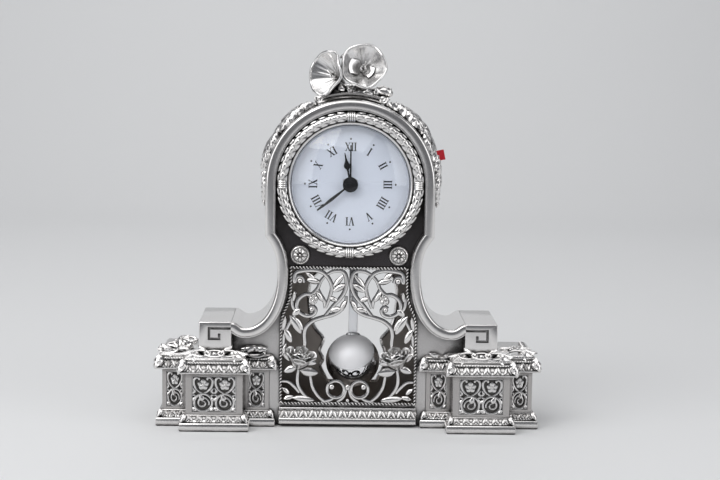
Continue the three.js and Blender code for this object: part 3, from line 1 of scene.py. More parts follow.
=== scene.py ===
# %% [markdown]
# A silver pendulum clock. The imported solids are the fixed frame: they hold every size, place and joint.
# This lesson dresses them in Blender, one piece at a time, and each new piece rides on the solid body that
# carries it. The frame comes in metres.

# %% Load the frame
import json
import math
from contextlib import contextmanager

import bpy
from mathutils import Matrix, Vector


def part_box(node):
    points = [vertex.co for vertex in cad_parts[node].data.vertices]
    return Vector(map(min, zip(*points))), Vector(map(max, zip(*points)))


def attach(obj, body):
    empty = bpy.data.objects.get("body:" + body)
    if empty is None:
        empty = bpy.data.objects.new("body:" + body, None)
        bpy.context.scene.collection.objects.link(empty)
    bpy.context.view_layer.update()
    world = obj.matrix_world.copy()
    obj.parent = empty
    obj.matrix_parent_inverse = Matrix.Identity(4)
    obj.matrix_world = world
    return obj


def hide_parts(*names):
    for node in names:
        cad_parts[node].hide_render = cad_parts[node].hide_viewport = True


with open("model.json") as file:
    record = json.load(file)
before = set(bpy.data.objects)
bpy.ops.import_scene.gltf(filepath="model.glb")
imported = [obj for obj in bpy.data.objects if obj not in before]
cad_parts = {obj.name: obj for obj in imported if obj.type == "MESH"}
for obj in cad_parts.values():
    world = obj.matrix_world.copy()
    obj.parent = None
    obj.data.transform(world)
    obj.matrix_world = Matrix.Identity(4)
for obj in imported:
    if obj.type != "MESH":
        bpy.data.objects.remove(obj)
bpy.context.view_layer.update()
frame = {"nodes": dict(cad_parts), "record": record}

MM = 0.001
NODES = frame["nodes"]

# %% [markdown]
# Most of the ornament is a few millimetres across, so the bench works in millimetres. A piece is modelled
# there at its true place, and the last step shrinks it to metres, bakes that into its mesh and lets it ride
# on a body. Operators act on everything that is selected, so each helper starts by deselecting.

# %% The bench
def span(node):
    """Lowest and highest corner of a solid of the frame, in millimetres."""
    low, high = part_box(node)
    return low / MM, high / MM


def fresh():
    """Object mode with nothing selected."""
    if bpy.context.mode != "OBJECT":
        bpy.ops.object.mode_set(mode="OBJECT")
    bpy.ops.object.select_all(action="DESELECT")


def hold(*pieces):
    """Selects these pieces alone and makes the first one active."""
    fresh()
    for piece in pieces:
        piece.select_set(True)
    bpy.context.view_layer.objects.active = pieces[0]


@contextmanager
def editing(piece):
    """Edit mode for the lines of a with block, with all of the piece selected."""
    hold(piece)
    bpy.ops.object.mode_set(mode="EDIT")
    bpy.ops.mesh.select_all(action="SELECT")
    yield
    bpy.ops.object.mode_set(mode="OBJECT")


def modifier(piece, kind, **settings):
    """Adds a modifier, sets it and applies it."""
    hold(piece)
    bpy.ops.object.modifier_add(type=kind)
    added = piece.modifiers[-1]
    for key, value in settings.items():
        setattr(added, key, value)
    bpy.ops.object.modifier_apply(modifier=added.name)
    return piece


def rounded(piece, width, segments=2, angle=35):
    """Bevels the edges that are sharper than an angle."""
    return modifier(piece, "BEVEL", width=width, segments=segments, limit_method="ANGLE",
                    angle_limit=math.radians(angle), use_clamp_overlap=True)


def walled(piece, thickness):
    """Gives a sheet a thickness, half of it on either side."""
    return modifier(piece, "SOLIDIFY", thickness=thickness, offset=0)


def joined(name, pieces):
    """One piece out of several."""
    hold(*pieces)
    if len(pieces) > 1:
        bpy.ops.object.join()
    bpy.context.object.name = name
    return bpy.context.object


def copied(model, place):
    """A copy of a piece with a mesh of its own, laid at a place. A mirrored copy gets its normals turned."""
    twin = model.copy()
    twin.data = model.data.copy()
    twin.data.transform(place)
    if place.determinant() < 0:
        twin.data.flip_normals()
    bpy.context.scene.collection.objects.link(twin)
    return twin


def spread(name, model, places):
    """Lays a copy of the model at each place and joins the copies; the model itself goes."""
    twins = [copied(model, place) for place in places]
    bpy.data.objects.remove(model)
    return joined(name, twins)


def moved(piece, x=0.0, y=0.0, z=0.0):
    """Shifts the mesh of a piece."""
    piece.data.transform(Matrix.Translation((x, y, z)))
    return piece


def twinned(piece, name):
    """A mirror image of a piece on the other side of the clock."""
    twin = copied(piece, Matrix.Diagonal((-1, 1, 1, 1)))
    twin.name = name
    return twin


def placed(piece, body, finish, replaces=(), angle=40):
    """Shrinks a piece to metres, gives it its finish and lets it ride on a body."""
    hold(piece)
    piece.scale = (MM, MM, MM)
    bpy.ops.object.transform_apply(location=True, rotation=True, scale=True)
    bpy.ops.object.shade_smooth_by_angle(angle=math.radians(angle))
    piece.data.materials.clear()
    piece.data.materials.append(finish)
    piece.data.name = piece.name
    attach(piece, body)
    if replaces:
        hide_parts(*replaces)
    print(piece.name, len(piece.data.polygons), "faces")
    return piece


# %% [markdown]
# Four ways of making a shape cover almost everything here. A ring of vertices laid along an outline is
# filled and pushed to a thickness, or spun into a turned form. A grid is bent along rows of points. A wire
# follows a route and thins out on the way. A leaf is a small bent grid with a raised rib and a thickness.

# %% Ways of making a shape
TIE = 1e-4


def ring(name, points):
    """A closed loop of edges along an outline."""
    fresh()
    bpy.ops.mesh.primitive_circle_add(vertices=len(points), fill_type="NOTHING")
    loop = bpy.context.object
    loop.name = name
    for vertex, point in zip(loop.data.vertices, points):
        vertex.co = point
    return loop


def slab(name, outline, front, back):
    """An outline of X and Z, filled and pushed from one plane of Y to another."""
    plate = ring(name, [(x, front, z) for x, z in outline])
    with editing(plate):
        bpy.ops.mesh.edge_face_add()
        bpy.ops.mesh.extrude_region_move(TRANSFORM_OT_translate={"value": (0, back - front, 0)})
        bpy.ops.mesh.select_all(action="SELECT")
        bpy.ops.mesh.normals_make_consistent(inside=False)
    return plate


def spun(name, profile, steps, centre=(0, 0, 0)):
    """A closed profile of radius and Y, spun round an axis along Y."""
    x, y, z = centre
    turned = ring(name, [(x + radius, y + along, z) for radius, along in profile])
    with editing(turned):
        bpy.ops.mesh.spin(steps=steps, angle=math.tau, center=centre, axis=(0, 1, 0))
        bpy.ops.mesh.select_all(action="SELECT")
        bpy.ops.mesh.remove_doubles(threshold=TIE)
        bpy.ops.mesh.normals_make_consistent(inside=False)
    return turned


def loft(name, rows, around=False, caps=False):
    """A grid bent along rows of points. Rows that go around close on themselves, and caps close the ends."""
    if around:
        rows = [[*row, row[0]] for row in rows]
    fresh()
    bpy.ops.mesh.primitive_grid_add(x_subdivisions=len(rows[0]) - 1, y_subdivisions=len(rows) - 1)
    sheet = bpy.context.object
    sheet.name = name
    for vertex, point in zip(sheet.data.vertices, [point for row in rows for point in row]):
        vertex.co = point
    with editing(sheet):
        bpy.ops.mesh.remove_doubles(threshold=TIE)
        if caps:
            bpy.ops.mesh.select_all(action="SELECT")
            bpy.ops.mesh.fill_holes(sides=0)
            bpy.ops.mesh.select_all(action="SELECT")
        bpy.ops.mesh.normals_make_consistent(inside=False)
    return sheet


def dome(name, profile, steps, centre=(0, 0, 0)):
    """A form turned round Y from a profile of radius and Y that starts and ends on the axis."""
    x, y, z = centre
    turns = [math.tau * step / steps for step in range(steps)]
    rows = [[(x + r * math.cos(t), y + along, z + r * math.sin(t)) for t in turns] for r, along in profile]
    return loft(name, rows, around=True)


def ball(name, radius, centre, *, rings, stretch=(1, 1, 1)):
    """A ball at a centre, stretched along the three axes."""
    fresh()
    bpy.ops.mesh.primitive_uv_sphere_add(segments=2 * rings, ring_count=rings, radius=radius)
    bead = bpy.context.object
    bead.name = name
    bead.data.transform(Matrix.Translation(centre) @ Matrix.Diagonal((*stretch, 1)))
    return bead


def through(points, steps):
    """A smooth route through points of any dimension (Catmull-Rom)."""
    points = [Vector(point) for point in points]
    last = len(points) - 1
    route = []
    for i in range(last):
        before, here, there, after = (points[min(max(i + k, 0), last)] for k in (-1, 0, 1, 2))
        for step in range(steps):
            t = step / steps
            route.append(0.5 * (2 * here + (there - before) * t
                                + (2 * before - 5 * here + 4 * there - after) * t**2
                                + (3 * here - before - 3 * there + after) * t**3))
    return [*route, points[-1]]


def wires(name, routes, thick, ends=(1, 1), flat=1.0, closed=False):
    """Round wires along routes of X, Y and Z. They thin out to a share of their thickness at the two ends,
    and a flat share presses them towards their own plane."""
    fresh()
    bpy.ops.curve.primitive_nurbs_path_add()
    strand = bpy.context.object
    strand.name = name
    curve = strand.data
    curve.splines.clear()
    for route in routes:
        spline = curve.splines.new("POLY")
        spline.points.add(len(route) - 1)
        spline.use_cyclic_u = closed
        for i, (point, place) in enumerate(zip(spline.points, route)):
            point.co = (*place, 1)
            share = i / (len(route) - 1)
            swell = min(1, 3 * share, 3 * (1 - share))
            point.radius = swell + (1 - swell) * (ends[0] if share < 0.5 else ends[1])
    curve.bevel_depth = thick / 2
    curve.bevel_resolution = 2
    curve.use_fill_caps = not closed
    bpy.ops.object.convert(target="MESH")
    strand = bpy.context.object
    strand.data.transform(Matrix.Diagonal((1, flat, 1, 1)))
    with editing(strand):
        bpy.ops.mesh.normals_make_consistent(inside=False)
    return strand


def leaf(name, length, width, rise, *, wall, cells, curl=0.0, teeth=0, broad=0.8):
    """A leaf that stands on the origin and points up along Z. Its rib rises towards the front, its tip curls
    forward, and teeth notch its edge, with a furrow at each notch."""
    across, along = cells
    rows = []
    for j in range(along + 1):
        t = j / along
        half = 0.5 * width * math.sin(math.pi * t**broad) ** 0.8 if 0 < j < along else 0
        if teeth:
            half *= 1 - 0.28 * (0.5 + 0.5 * math.cos(math.tau * teeth * t))
        row = []
        for i in range(across + 1):
            u = 2 * i / across - 1
            crown = rise * (1 - abs(u) ** 1.6) * math.sin(math.pi * min(1, 0.25 + 0.75 * t))
            if teeth:
                crown -= 0.4 * rise * abs(u) * (0.5 + 0.5 * math.cos(math.tau * teeth * t))
            row.append((u * half, -crown - curl * t**2, t * length))
        rows.append(row)
    return walled(loft(name, rows), wall)


def bezier(start, first, second, end, steps):
    """Points of a cubic curve, without its start."""
    knots = [Vector(point) for point in (start, first, second, end)]
    route = []
    for step in range(1, steps + 1):
        t = step / steps
        a, b, c, d = (1 - t) ** 3, 3 * t * (1 - t) ** 2, 3 * t**2 * (1 - t), t**3
        route.append(tuple(a * knots[0] + b * knots[1] + c * knots[2] + d * knots[3]))
    return route


def turn(angle, axis="Y"):
    """A turn in degrees, clockwise from the front where it is about Y."""
    return Matrix.Rotation(math.radians(angle), 4, axis)


def at(x, y, z):
    """A shift to a place."""
    return Matrix.Translation((x, y, z))

# %% [markdown]
# The camera stands where the photographer's stood: a little left of the middle, about a metre in front,
# looking down by seven degrees. The place was fitted to the corners of the clock, and the slight roll
# belongs to it.

# %% Camera
CAMERA_PLACE = Vector((-15.67, -1035.0, 240.88)) * MM
YAW, PITCH, ROLL = (math.radians(angle) for angle in (-1.243, 6.851, 0.842))
LENS_MM = 82.64

forward = Vector((-math.sin(YAW) * math.cos(PITCH), math.cos(YAW) * math.cos(PITCH), -math.sin(PITCH)))
level = Vector((math.cos(YAW), math.sin(YAW), 0))
upward = level.cross(forward)
right = math.cos(ROLL) * level + math.sin(ROLL) * upward
top = math.cos(ROLL) * upward - math.sin(ROLL) * level
fresh()
bpy.ops.object.camera_add(location=CAMERA_PLACE)
camera = bpy.context.object
camera.name = "camera"
camera.rotation_euler = Matrix((right, top, -forward)).transposed().to_euler()
camera.data.sensor_width = 36
camera.data.lens = LENS_MM
camera.data.clip_start = 0.05
bpy.context.scene.camera = camera
print("camera at", [round(value, 3) for value in CAMERA_PLACE])

# %% [markdown]
# Silver shows little of its own: it shows the room. So the room is planned with care: a pale floor that
# sweeps up into a backdrop, a floor that turns grey towards the front and gives the flat mouldings their
# middle grey, four soft panels, one above, one on each side and one high in front on the left, that draw
# the bright lines along every rounded edge, and one for the backdrop. The backdrop stands far enough away
# to leave room for a camera behind the clock.

# %% Floor, room and soft panels
FLOOR_TONE = (0.80, 0.805, 0.81, 1)
ROOM_TONE = (0.15, 0.153, 0.163, 1)
FRONT_TONE = (0.38, 0.385, 0.4, 1)
SWEEP_START, SWEEP_RADIUS, SWEEP_TOP, STAGE_HALF, STAGE_FRONT = 1.15, 0.6, 2.4, 4.0, -4.0

bow = [(SWEEP_START + SWEEP_RADIUS * math.sin(a), SWEEP_RADIUS * (1 - math.cos(a)))
       for a in [math.radians(6 * step) for step in range(16)]]
rise = [(STAGE_FRONT, 0.0), *bow, (SWEEP_START + SWEEP_RADIUS, SWEEP_TOP)]
floor = loft("studio_sweep", [[(-STAGE_HALF, y, z), (STAGE_HALF, y, z)] for y, z in rise])
bpy.ops.object.shade_smooth()

paper = bpy.data.materials.new("paper")
paper.use_nodes = True
sheet = paper.node_tree.nodes["Principled BSDF"]
where = paper.node_tree.nodes.new("ShaderNodeTexCoord")
apart = paper.node_tree.nodes.new("ShaderNodeSeparateXYZ")
ahead = paper.node_tree.nodes.new("ShaderNodeMapRange")
ahead.inputs["From Min"].default_value, ahead.inputs["From Max"].default_value = STAGE_FRONT, 0
tones = paper.node_tree.nodes.new("ShaderNodeValToRGB")
stops = tones.color_ramp.elements
stops[0].position, stops[0].color = 0.2, FLOOR_TONE
stops[1].position, stops[1].color = 0.95, FLOOR_TONE
for share in (0.62, 0.8):
    stops.new(share).color = FRONT_TONE
for source, target in (
        (where.outputs["Object"], apart.inputs[0]),
        (apart.outputs["Y"], ahead.inputs["Value"]),
        (ahead.outputs[0], tones.inputs[0]),
        (tones.outputs["Color"], sheet.inputs["Base Color"])):
    paper.node_tree.links.new(source, target)
sheet.inputs["Roughness"].default_value = 0.9
sheet.inputs["Specular IOR Level"].default_value = 0.1
floor.data.materials.append(paper)

room = bpy.data.worlds.new("room")
bpy.context.scene.world = room
room.use_nodes = True
room.node_tree.nodes["Background"].inputs["Color"].default_value = ROOM_TONE
room.node_tree.nodes["Background"].inputs["Strength"].default_value = 1.0


def panel(name, place, aim, width, height, watts):
    """A soft rectangular lamp that faces a point."""
    fresh()
    bpy.ops.object.light_add(type="AREA", location=place)
    lamp = bpy.context.object
    lamp.name = name
    lamp.data.shape = "RECTANGLE"
    lamp.data.size, lamp.data.size_y = width, height
    lamp.data.energy = watts
    lamp.rotation_euler = (Vector(aim) - Vector(place)).to_track_quat("-Z", "Y").to_euler()
    return lamp


MIDDLE = (0, 0, 0.12)
panel("panel_above", (-0.25, -0.5, 1.25), MIDDLE, 2.0, 1.4, 10.5)
panel("panel_left", (-1.05, -0.75, 0.6), MIDDLE, 0.9, 1.2, 4.5)
panel("panel_right", (1.05, -0.6, 0.55), MIDDLE, 0.75, 1.1, 3.5)
panel("panel_front", (-0.72, -0.99, 1.22), MIDDLE, 0.9, 0.7, 4.5)
panel("panel_backdrop", (0, 0.75, 1.5), (0, 1.7, 0.3), 1.6, 0.4, 8)
bpy.context.scene.view_settings.view_transform = "Standard"

# %% [markdown]
# Old silver plate is bright where cloths reach it and dark where they do not, and shade falls in the same
# hollows. One shared effect paints both: it measures how enclosed each point is, also between separate
# pieces, breaks that up with a little noise, and gives back a colour with painted shade and a roughness.
# The shader itself stays in each material, with its own bright tone, dark tone and depth of painted shade.

# %% The painted shade and tarnish effect
def effect(name, inputs, outputs):
    """An empty node group with its sockets."""
    tree = bpy.data.node_groups.new(name, "ShaderNodeTree")
    for label, kind in inputs:
        tree.interface.new_socket(label, in_out="INPUT", socket_type=kind)
    for label, kind in outputs:
        tree.interface.new_socket(label, in_out="OUTPUT", socket_type=kind)
    return tree, tree.nodes.new("NodeGroupInput"), tree.nodes.new("NodeGroupOutput")


def node(tree, kind, links=(), **settings):
    """A node with settings on its properties and on its sockets."""
    made = tree.nodes.new(kind)
    for key, value in settings.items():
        if hasattr(made, key):
            setattr(made, key, value)
        else:
            made.inputs[key.replace("_", " ")].default_value = value
    for socket, source in links:
        tree.links.new(source, made.inputs[socket])
    return made


def blended(tree, share, first, second):
    """A mix of two colours, of which the sockets come after those of the other kinds."""
    mix = node(tree, "ShaderNodeMix", [(0, share), (6, first), (7, second)], data_type="RGBA")
    return mix.outputs[2]


def ranged(tree, source, low, high, to_low, to_high, **settings):
    """A value moved from one range to another."""
    made = node(tree, "ShaderNodeMapRange", [("Value", source)], **settings)
    for socket, value in zip(("From Min", "From Max", "To Min", "To Max"), (low, high, to_low, to_high)):
        made.inputs[socket].default_value = value
    return made.outputs[0]


FLOAT, COLOUR = "NodeSocketFloat", "NodeSocketColor"
CLOUD_SCALE, SHADE_AND_TARNISH_DULLS = 160, 0.3
tarnish, given, result = effect(
    "tarnish",
    [("Bright", COLOUR), ("Dark", COLOUR), ("Reach", FLOAT), ("Depth", FLOAT), ("Polish", FLOAT)],
    [("Color", COLOUR), ("Roughness", FLOAT)])
place = node(tarnish, "ShaderNodeTexCoord")
cloud = node(tarnish, "ShaderNodeTexNoise", [("Vector", place.outputs["Object"])],
             Scale=CLOUD_SCALE, Detail=3)
# Painted shade: ambient occlusion darkens the colour where a point is enclosed, also in gaps between pieces.
hidden = node(tarnish, "ShaderNodeAmbientOcclusion", [("Distance", given.outputs["Reach"])], samples=8)
shade = ranged(tarnish, hidden.outputs["AO"], 0.25, 0.9, 1.0, 0.0, interpolation_type="SMOOTHSTEP")
patchy = ranged(tarnish, cloud.outputs["Fac"], 0.3, 0.7, 0.75, 1.2)
uneven = node(tarnish, "ShaderNodeMath", [(0, shade), (1, patchy)], operation="MULTIPLY")
deep = node(tarnish, "ShaderNodeMath", [(0, uneven.outputs[0]), (1, given.outputs["Depth"])],
            operation="MULTIPLY", use_clamp=True)
tone = blended(tarnish, deep.outputs[0], given.outputs["Bright"], given.outputs["Dark"])
dull = node(tarnish, "ShaderNodeMath", [(0, deep.outputs[0]), (2, given.outputs["Polish"])],
            operation="MULTIPLY_ADD")
dull.inputs[1].default_value = SHADE_AND_TARNISH_DULLS
tarnish.links.new(tone, result.inputs["Color"])
tarnish.links.new(dull.outputs[0], result.inputs["Roughness"])
print("effect", tarnish.name, len(tarnish.nodes), "nodes")

# %% [markdown]
# Plastic, paint and print are flatter, but no real surface is one even colour. A second effect lets a fine
# noise shift the brightness and the gloss a little.

# %% The grain effect
GLOSS_SWING = 0.05
grain, given, result = effect(
    "grain",
    [("Base", COLOUR), ("Shift", FLOAT), ("Gloss", FLOAT), ("Scale", FLOAT)],
    [("Color", COLOUR), ("Roughness", FLOAT), ("Height", FLOAT)])
place = node(grain, "ShaderNodeTexCoord")
speck = node(grain, "ShaderNodeTexNoise",
             [("Vector", place.outputs["Object"]), ("Scale", given.outputs["Scale"])], Detail=4)
swing = ranged(grain, speck.outputs["Fac"], 0.3, 0.7, -1, 1)
light = node(grain, "ShaderNodeMath", [(0, swing), (1, given.outputs["Shift"])], operation="MULTIPLY_ADD")
light.inputs[2].default_value = 1
colour = node(grain, "ShaderNodeHueSaturation",
              [("Color", given.outputs["Base"]), ("Value", light.outputs[0])])
gloss = node(grain, "ShaderNodeMath", [(0, swing), (2, given.outputs["Gloss"])], operation="MULTIPLY_ADD")
gloss.inputs[1].default_value = GLOSS_SWING
grain.links.new(colour.outputs["Color"], result.inputs["Color"])
grain.links.new(gloss.outputs[0], result.inputs["Roughness"])
grain.links.new(speck.outputs["Fac"], result.inputs["Height"])
print("effect", grain.name, len(grain.nodes), "nodes")

# %% [markdown]
# The finishes. Plate silver is nearly white metal. The pressed panels of the pedestals are duller, and their
# fine relief holds painted shade and tarnish; the plain bodies behind them are duller still. The rope and the
# scrollwork get painted shade on their flanks, so whatever looks sideways stays dark, and the front plate
# gets painted shade that darkens it towards its top. The bob is chromed, the rod is satin.

# %% Finishes
FLANK_SHADE = "painted_flank_shade"
DENT_SCALE, DENT_HEIGHT, GRAIN_SCALE = 420, 0.3 * MM, 600


def shader_of(finish):
    """Node tree and main shader of a finish."""
    finish.use_nodes = True
    return finish.node_tree, finish.node_tree.nodes["Principled BSDF"]


def metal(name, bright, polish, dark=0.09, reach=4.0, depth=0.9, dents=0.0, shade_fade=None, flank_shade=None):
    """A metal with painted shade and tarnish in its hollows, within a reach in millimetres. Dents roughen it
    like hand-chased work, a shade fade paints shade as another tone between two heights, and flank shade
    paints that tone on what looks sideways."""
    finish = bpy.data.materials.new(name)
    tree, shader = shader_of(finish)
    coat = node(tree, "ShaderNodeGroup", node_tree=tarnish, Bright=(*bright, 1),
                Dark=(dark * 1.04, dark, dark * 0.95, 1), Reach=reach * MM, Depth=depth, Polish=polish)
    tree.links.new(coat.outputs["Color"], shader.inputs["Base Color"])
    tree.links.new(coat.outputs["Roughness"], shader.inputs["Roughness"])
    shader.inputs["Metallic"].default_value = 1
    if shade_fade or flank_shade:
        low, high, tone = shade_fade or flank_shade
        # Painted shade: above a height the bright tone turns dark.
        if shade_fade:
            spot = node(tree, "ShaderNodeTexCoord").outputs["Object"]
            guide, unit = node(tree, "ShaderNodeSeparateXYZ", [(0, spot)]).outputs["Z"], MM
        else:
            # Painted shade: faces that look sideways get the dark tone.
            guide, unit = node(tree, "ShaderNodeAttribute", attribute_name=FLANK_SHADE).outputs["Fac"], 1
        share = ranged(tree, guide, low * unit, high * unit, 0.0, 1.0, interpolation_type="SMOOTHSTEP")
        mix = node(tree, "ShaderNodeMix", [(0, share)], data_type="RGBA")
        mix.inputs[6].default_value = (*bright, 1)
        mix.inputs[7].default_value = (*tone, 1)
        tree.links.new(mix.outputs[2], coat.inputs["Bright"])
    if dents:
        spots = node(tree, "ShaderNodeGroup", node_tree=grain, Scale=DENT_SCALE)
        bump = node(tree, "ShaderNodeBump", [("Height", spots.outputs["Height"])],
                    Strength=dents, Distance=DENT_HEIGHT)
        tree.links.new(bump.outputs["Normal"], shader.inputs["Normal"])
    return finish


def paint(name, base, gloss, shift=0.04, metallic=0.0):
    """A flat coat of a base tone whose brightness shifts a little with the grain."""
    finish = bpy.data.materials.new(name)
    tree, shader = shader_of(finish)
    coat = node(tree, "ShaderNodeGroup", node_tree=grain, Base=(*base, 1), Shift=shift, Gloss=gloss,
                Scale=GRAIN_SCALE)
    tree.links.new(coat.outputs["Color"], shader.inputs["Base Color"])
    tree.links.new(coat.outputs["Roughness"], shader.inputs["Roughness"])
    shader.inputs["Metallic"].default_value = metallic
    return finish


def clear(name):
    """Glass that lets the lamps through, so that the dial behind it is lit."""
    finish = bpy.data.materials.new(name)
    tree, shader = shader_of(finish)
    shader.inputs["Base Color"].default_value = (0.97, 0.99, 1.0, 1)
    shader.inputs["Roughness"].default_value = 0.02
    shader.inputs["IOR"].default_value = 1.46
    shader.inputs["Transmission Weight"].default_value = 1
    ray = node(tree, "ShaderNodeLightPath")
    open_way = node(tree, "ShaderNodeBsdfTransparent")
    either = node(tree, "ShaderNodeMixShader", [
        (0, ray.outputs["Is Shadow Ray"]), (1, shader.outputs["BSDF"]), (2, open_way.outputs["BSDF"])])
    tree.links.new(either.outputs["Shader"], tree.nodes["Material Output"].inputs["Surface"])
    return finish


FINISHES = {
    "silver": metal("silver", (0.81, 0.795, 0.785), 0.19, dark=0.045, reach=3.5, depth=1.1, dents=0.05),
    "antique_silver": metal("antique_silver", (0.74, 0.73, 0.725), 0.24, dark=0.035, reach=3.0, depth=1.1,
                            dents=0.1),
    # Painted shade on the flanks of the rope and the scrollwork.
    "pierced_silver": metal("pierced_silver", (0.84, 0.825, 0.815), 0.17, dark=0.045, reach=3.0, depth=1.1,
                            dents=0.05, flank_shade=(0.15, 0.62, (0.06, 0.057, 0.056))),
    "recess": metal("recess", (0.13, 0.125, 0.12), 0.45, dark=0.03),
    # Painted shade: the plate darkens towards its top, around the dial.
    "front_plate": metal("front_plate", (0.6, 0.585, 0.58), 0.24, dark=0.03, reach=10.0, depth=1.1,
                         shade_fade=(70, 100, (0.1, 0.092, 0.095))),
    "body_silver": metal("body_silver", (0.52, 0.50, 0.49), 0.27, dark=0.04, reach=6.0, depth=1.1,
                         dents=0.04),
    "case_back": metal("case_back", (0.36, 0.325, 0.30), 0.4, dark=0.07, reach=8.0, depth=0.7),
    "mirror_chrome": metal("mirror_chrome", (0.86, 0.87, 0.88), 0.07, depth=0.3),
    "rod_metal": metal("rod_metal", (0.84, 0.85, 0.87), 0.28, depth=0.4),
    "dial_white": paint("dial_white", (0.68, 0.71, 0.80), 0.45, shift=0.01),
    "hand_black": paint("hand_black", (0.005, 0.005, 0.006), 0.5),
    "petal": metal("petal", (0.93, 0.92, 0.915), 0.3, dark=0.12, reach=2.2, depth=0.9, dents=0.05),
    "bloom": metal("bloom", (0.88, 0.87, 0.865), 0.24, dark=0.12, reach=9.0, depth=1.2, dents=0.05),
    "lens_glass": clear("lens_glass"),
    "movement_plastic": paint("movement_plastic", (0.02, 0.021, 0.024), 0.5, shift=0.1),
    "gear_plastic": paint("gear_plastic", (0.75, 0.72, 0.62), 0.45),
    "steel": metal("steel", (0.6, 0.61, 0.62), 0.3, depth=0.5),
    "cell_jacket": paint("cell_jacket", (0.06, 0.19, 0.1), 0.3, metallic=0.2),
    "copper_winding": metal("copper_winding", (0.72, 0.36, 0.18), 0.38, dark=0.05),
    "red_plastic": paint("red_plastic", (0.55, 0.015, 0.03), 0.35),
}


def silvered(piece, *nodes):
    """A piece of plate silver on the case, in place of the named solids."""
    return placed(piece, "case", FINISHES["silver"], nodes)


shader_of(FINISHES["hand_black"])[1].inputs["Specular IOR Level"].default_value = 0.15
SLOTS = {entry["node"]: entry["material_slot"] for entry in frame["record"]["subparts"]}
for name, part in NODES.items():
    part.data.materials.clear()
    part.data.materials.append(FINISHES[SLOTS[name]])
NODES["front_plate"].data.materials[0] = FINISHES["front_plate"]
for name in ("pedestal_body_left", "pedestal_body_right"):
    NODES[name].data.materials[0] = FINISHES["body_silver"]
print(len(FINISHES), "finishes")

# %% [markdown]
# The case. Its body is a bent sheet, and a cast moulding runs round its front edge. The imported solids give
# the box of each part, and the outline between them is two curves and an arch: out of the shoulder block,
# down through a dip, up to the narrow neck and out again to the foot of the hood.

# %% Outline of the case
mould_low, mould_high = span("front_moulding")
bezel_low, bezel_high = span("bezel_ring")
PLATE_FRONT = span("front_plate")[0].y
BLOCK_OUTER = mould_high.x
BLOCK_INNER = BLOCK_OUTER - 20.3
CAP_TOP = mould_low.z
SHOULDER_TOP = CAP_TOP + 21
DIP = (64.4, SHOULDER_TOP - 3.6)
NECK = (44.6, SHOULDER_TOP + 30)
DIAL_LEVEL = (bezel_low.z + bezel_high.z) / 2
HOOD_RADIUS = mould_high.z - DIAL_LEVEL
HOOD_FOOT = DIAL_LEVEL - 32.5


def case_side(steps):
    """Right half of the outline as points of X and Z, from the shoulder block up to the top of the hood."""
    start, foot = (BLOCK_INNER, SHOULDER_TOP), (HOOD_RADIUS, HOOD_FOOT)
    reach, swell = DIP[0] - NECK[0], HOOD_RADIUS - NECK[0]
    side = [start]
    side += bezier(start, (DIP[0] + 4.92, SHOULDER_TOP), (DIP[0] + 3.69, DIP[1]), DIP, steps // 2)
    side += bezier(DIP, (DIP[0] - 0.58 * reach, DIP[1]), (NECK[0], NECK[1] - 19.2), NECK, steps)
    side += bezier(NECK, (NECK[0], NECK[1] + 10.1), (NECK[0] + 0.25 * swell, NECK[1] + 16.9), foot, steps)
    quarter = [math.pi / 2 * step / (2 * steps) for step in range(2 * steps)]
    side += [(HOOD_RADIUS * math.cos(a), DIAL_LEVEL + HOOD_RADIUS * math.sin(a)) for a in quarter]
    return side


def arch(steps):
    """The whole outline, from the right block over the hood to the left block."""
    side = case_side(steps)
    return [*side, (0, DIAL_LEVEL + HOOD_RADIUS), *[(-x, z) for x, z in reversed(side)]]


def inward(route):
    """Direction to the inside at each point of a route, longer at corners so that a band keeps its width."""
    sides = []
    for (x0, z0), (x1, z1) in zip(route, route[1:]):
        sides.append(Vector((z0 - z1, x1 - x0)).normalized())
    halfway = [(a + b).normalized() for a, b in zip(sides, sides[1:])]
    corners = [normal / max(0.5, normal.dot(side)) for normal, side in zip(halfway, sides)]
    return [sides[0], *corners, sides[-1]]


def swept(name, route, profile):
    """A closed profile of inward distance and Y, carried along a route of X and Z."""
    rows = []
    for (x, z), normal in zip(route, inward(route)):
        rows.append([(x + normal.x * u, y, z + normal.y * u) for u, y in profile])
    return loft(name, rows, around=True, caps=True)


print("hood radius", round(HOOD_RADIUS, 2), "dial level", round(DIAL_LEVEL, 2))

# %% [markdown]
# The moulding has a broad, slightly crowned face, a round outer edge and a small lip along the inner one,
# where it drops to the plate. One profile carried along the outline makes it. The sheet behind it is a
# plain profile carried along the same outline.

# %% Moulding and body of the case
SHELL_BACK = span("case_shell")[1].y
FACE = mould_low.y
BAND = 6.7
WALL = 2.4
roll = [(0, FACE + 2.6), (0.15, FACE + 1.6), (0.5, FACE + 0.85), (1.0, FACE + 0.45), (1.7, FACE + 0.2),
        (2.7, FACE + 0.04), (3.6, FACE), (4.6, FACE + 0.06), (5.2, FACE + 0.25), (5.45, FACE + 0.7),
        (5.65, FACE + 0.8), (6.0, FACE + 0.7), (6.35, FACE + 0.8), (6.6, FACE + 1.2), (BAND, FACE + 1.9),
        (BAND, PLATE_FRONT)]
moulding = swept("moulding", arch(20), [(0, PLATE_FRONT), *roll])
plain_sheet = [(0, PLATE_FRONT), (0, SHELL_BACK), (WALL, SHELL_BACK), (WALL, PLATE_FRONT)]
body = swept("case_body", arch(20), plain_sheet)

# %% [markdown]
# The shoulder ends in a square block with a meander cut into its face. The block is a rounded box. The
# groove is a thin bar along the meander, taken away from the block.

# %% Shoulder blocks
GROOVE, GROOVE_DEPTH, MARGIN, SIDE_MARGIN = 1.6, 1.6, 3.2, 5.6
MEANDER_TALL, HOOK, HOOK_PLACE = 8.2, 2.6, 6.8


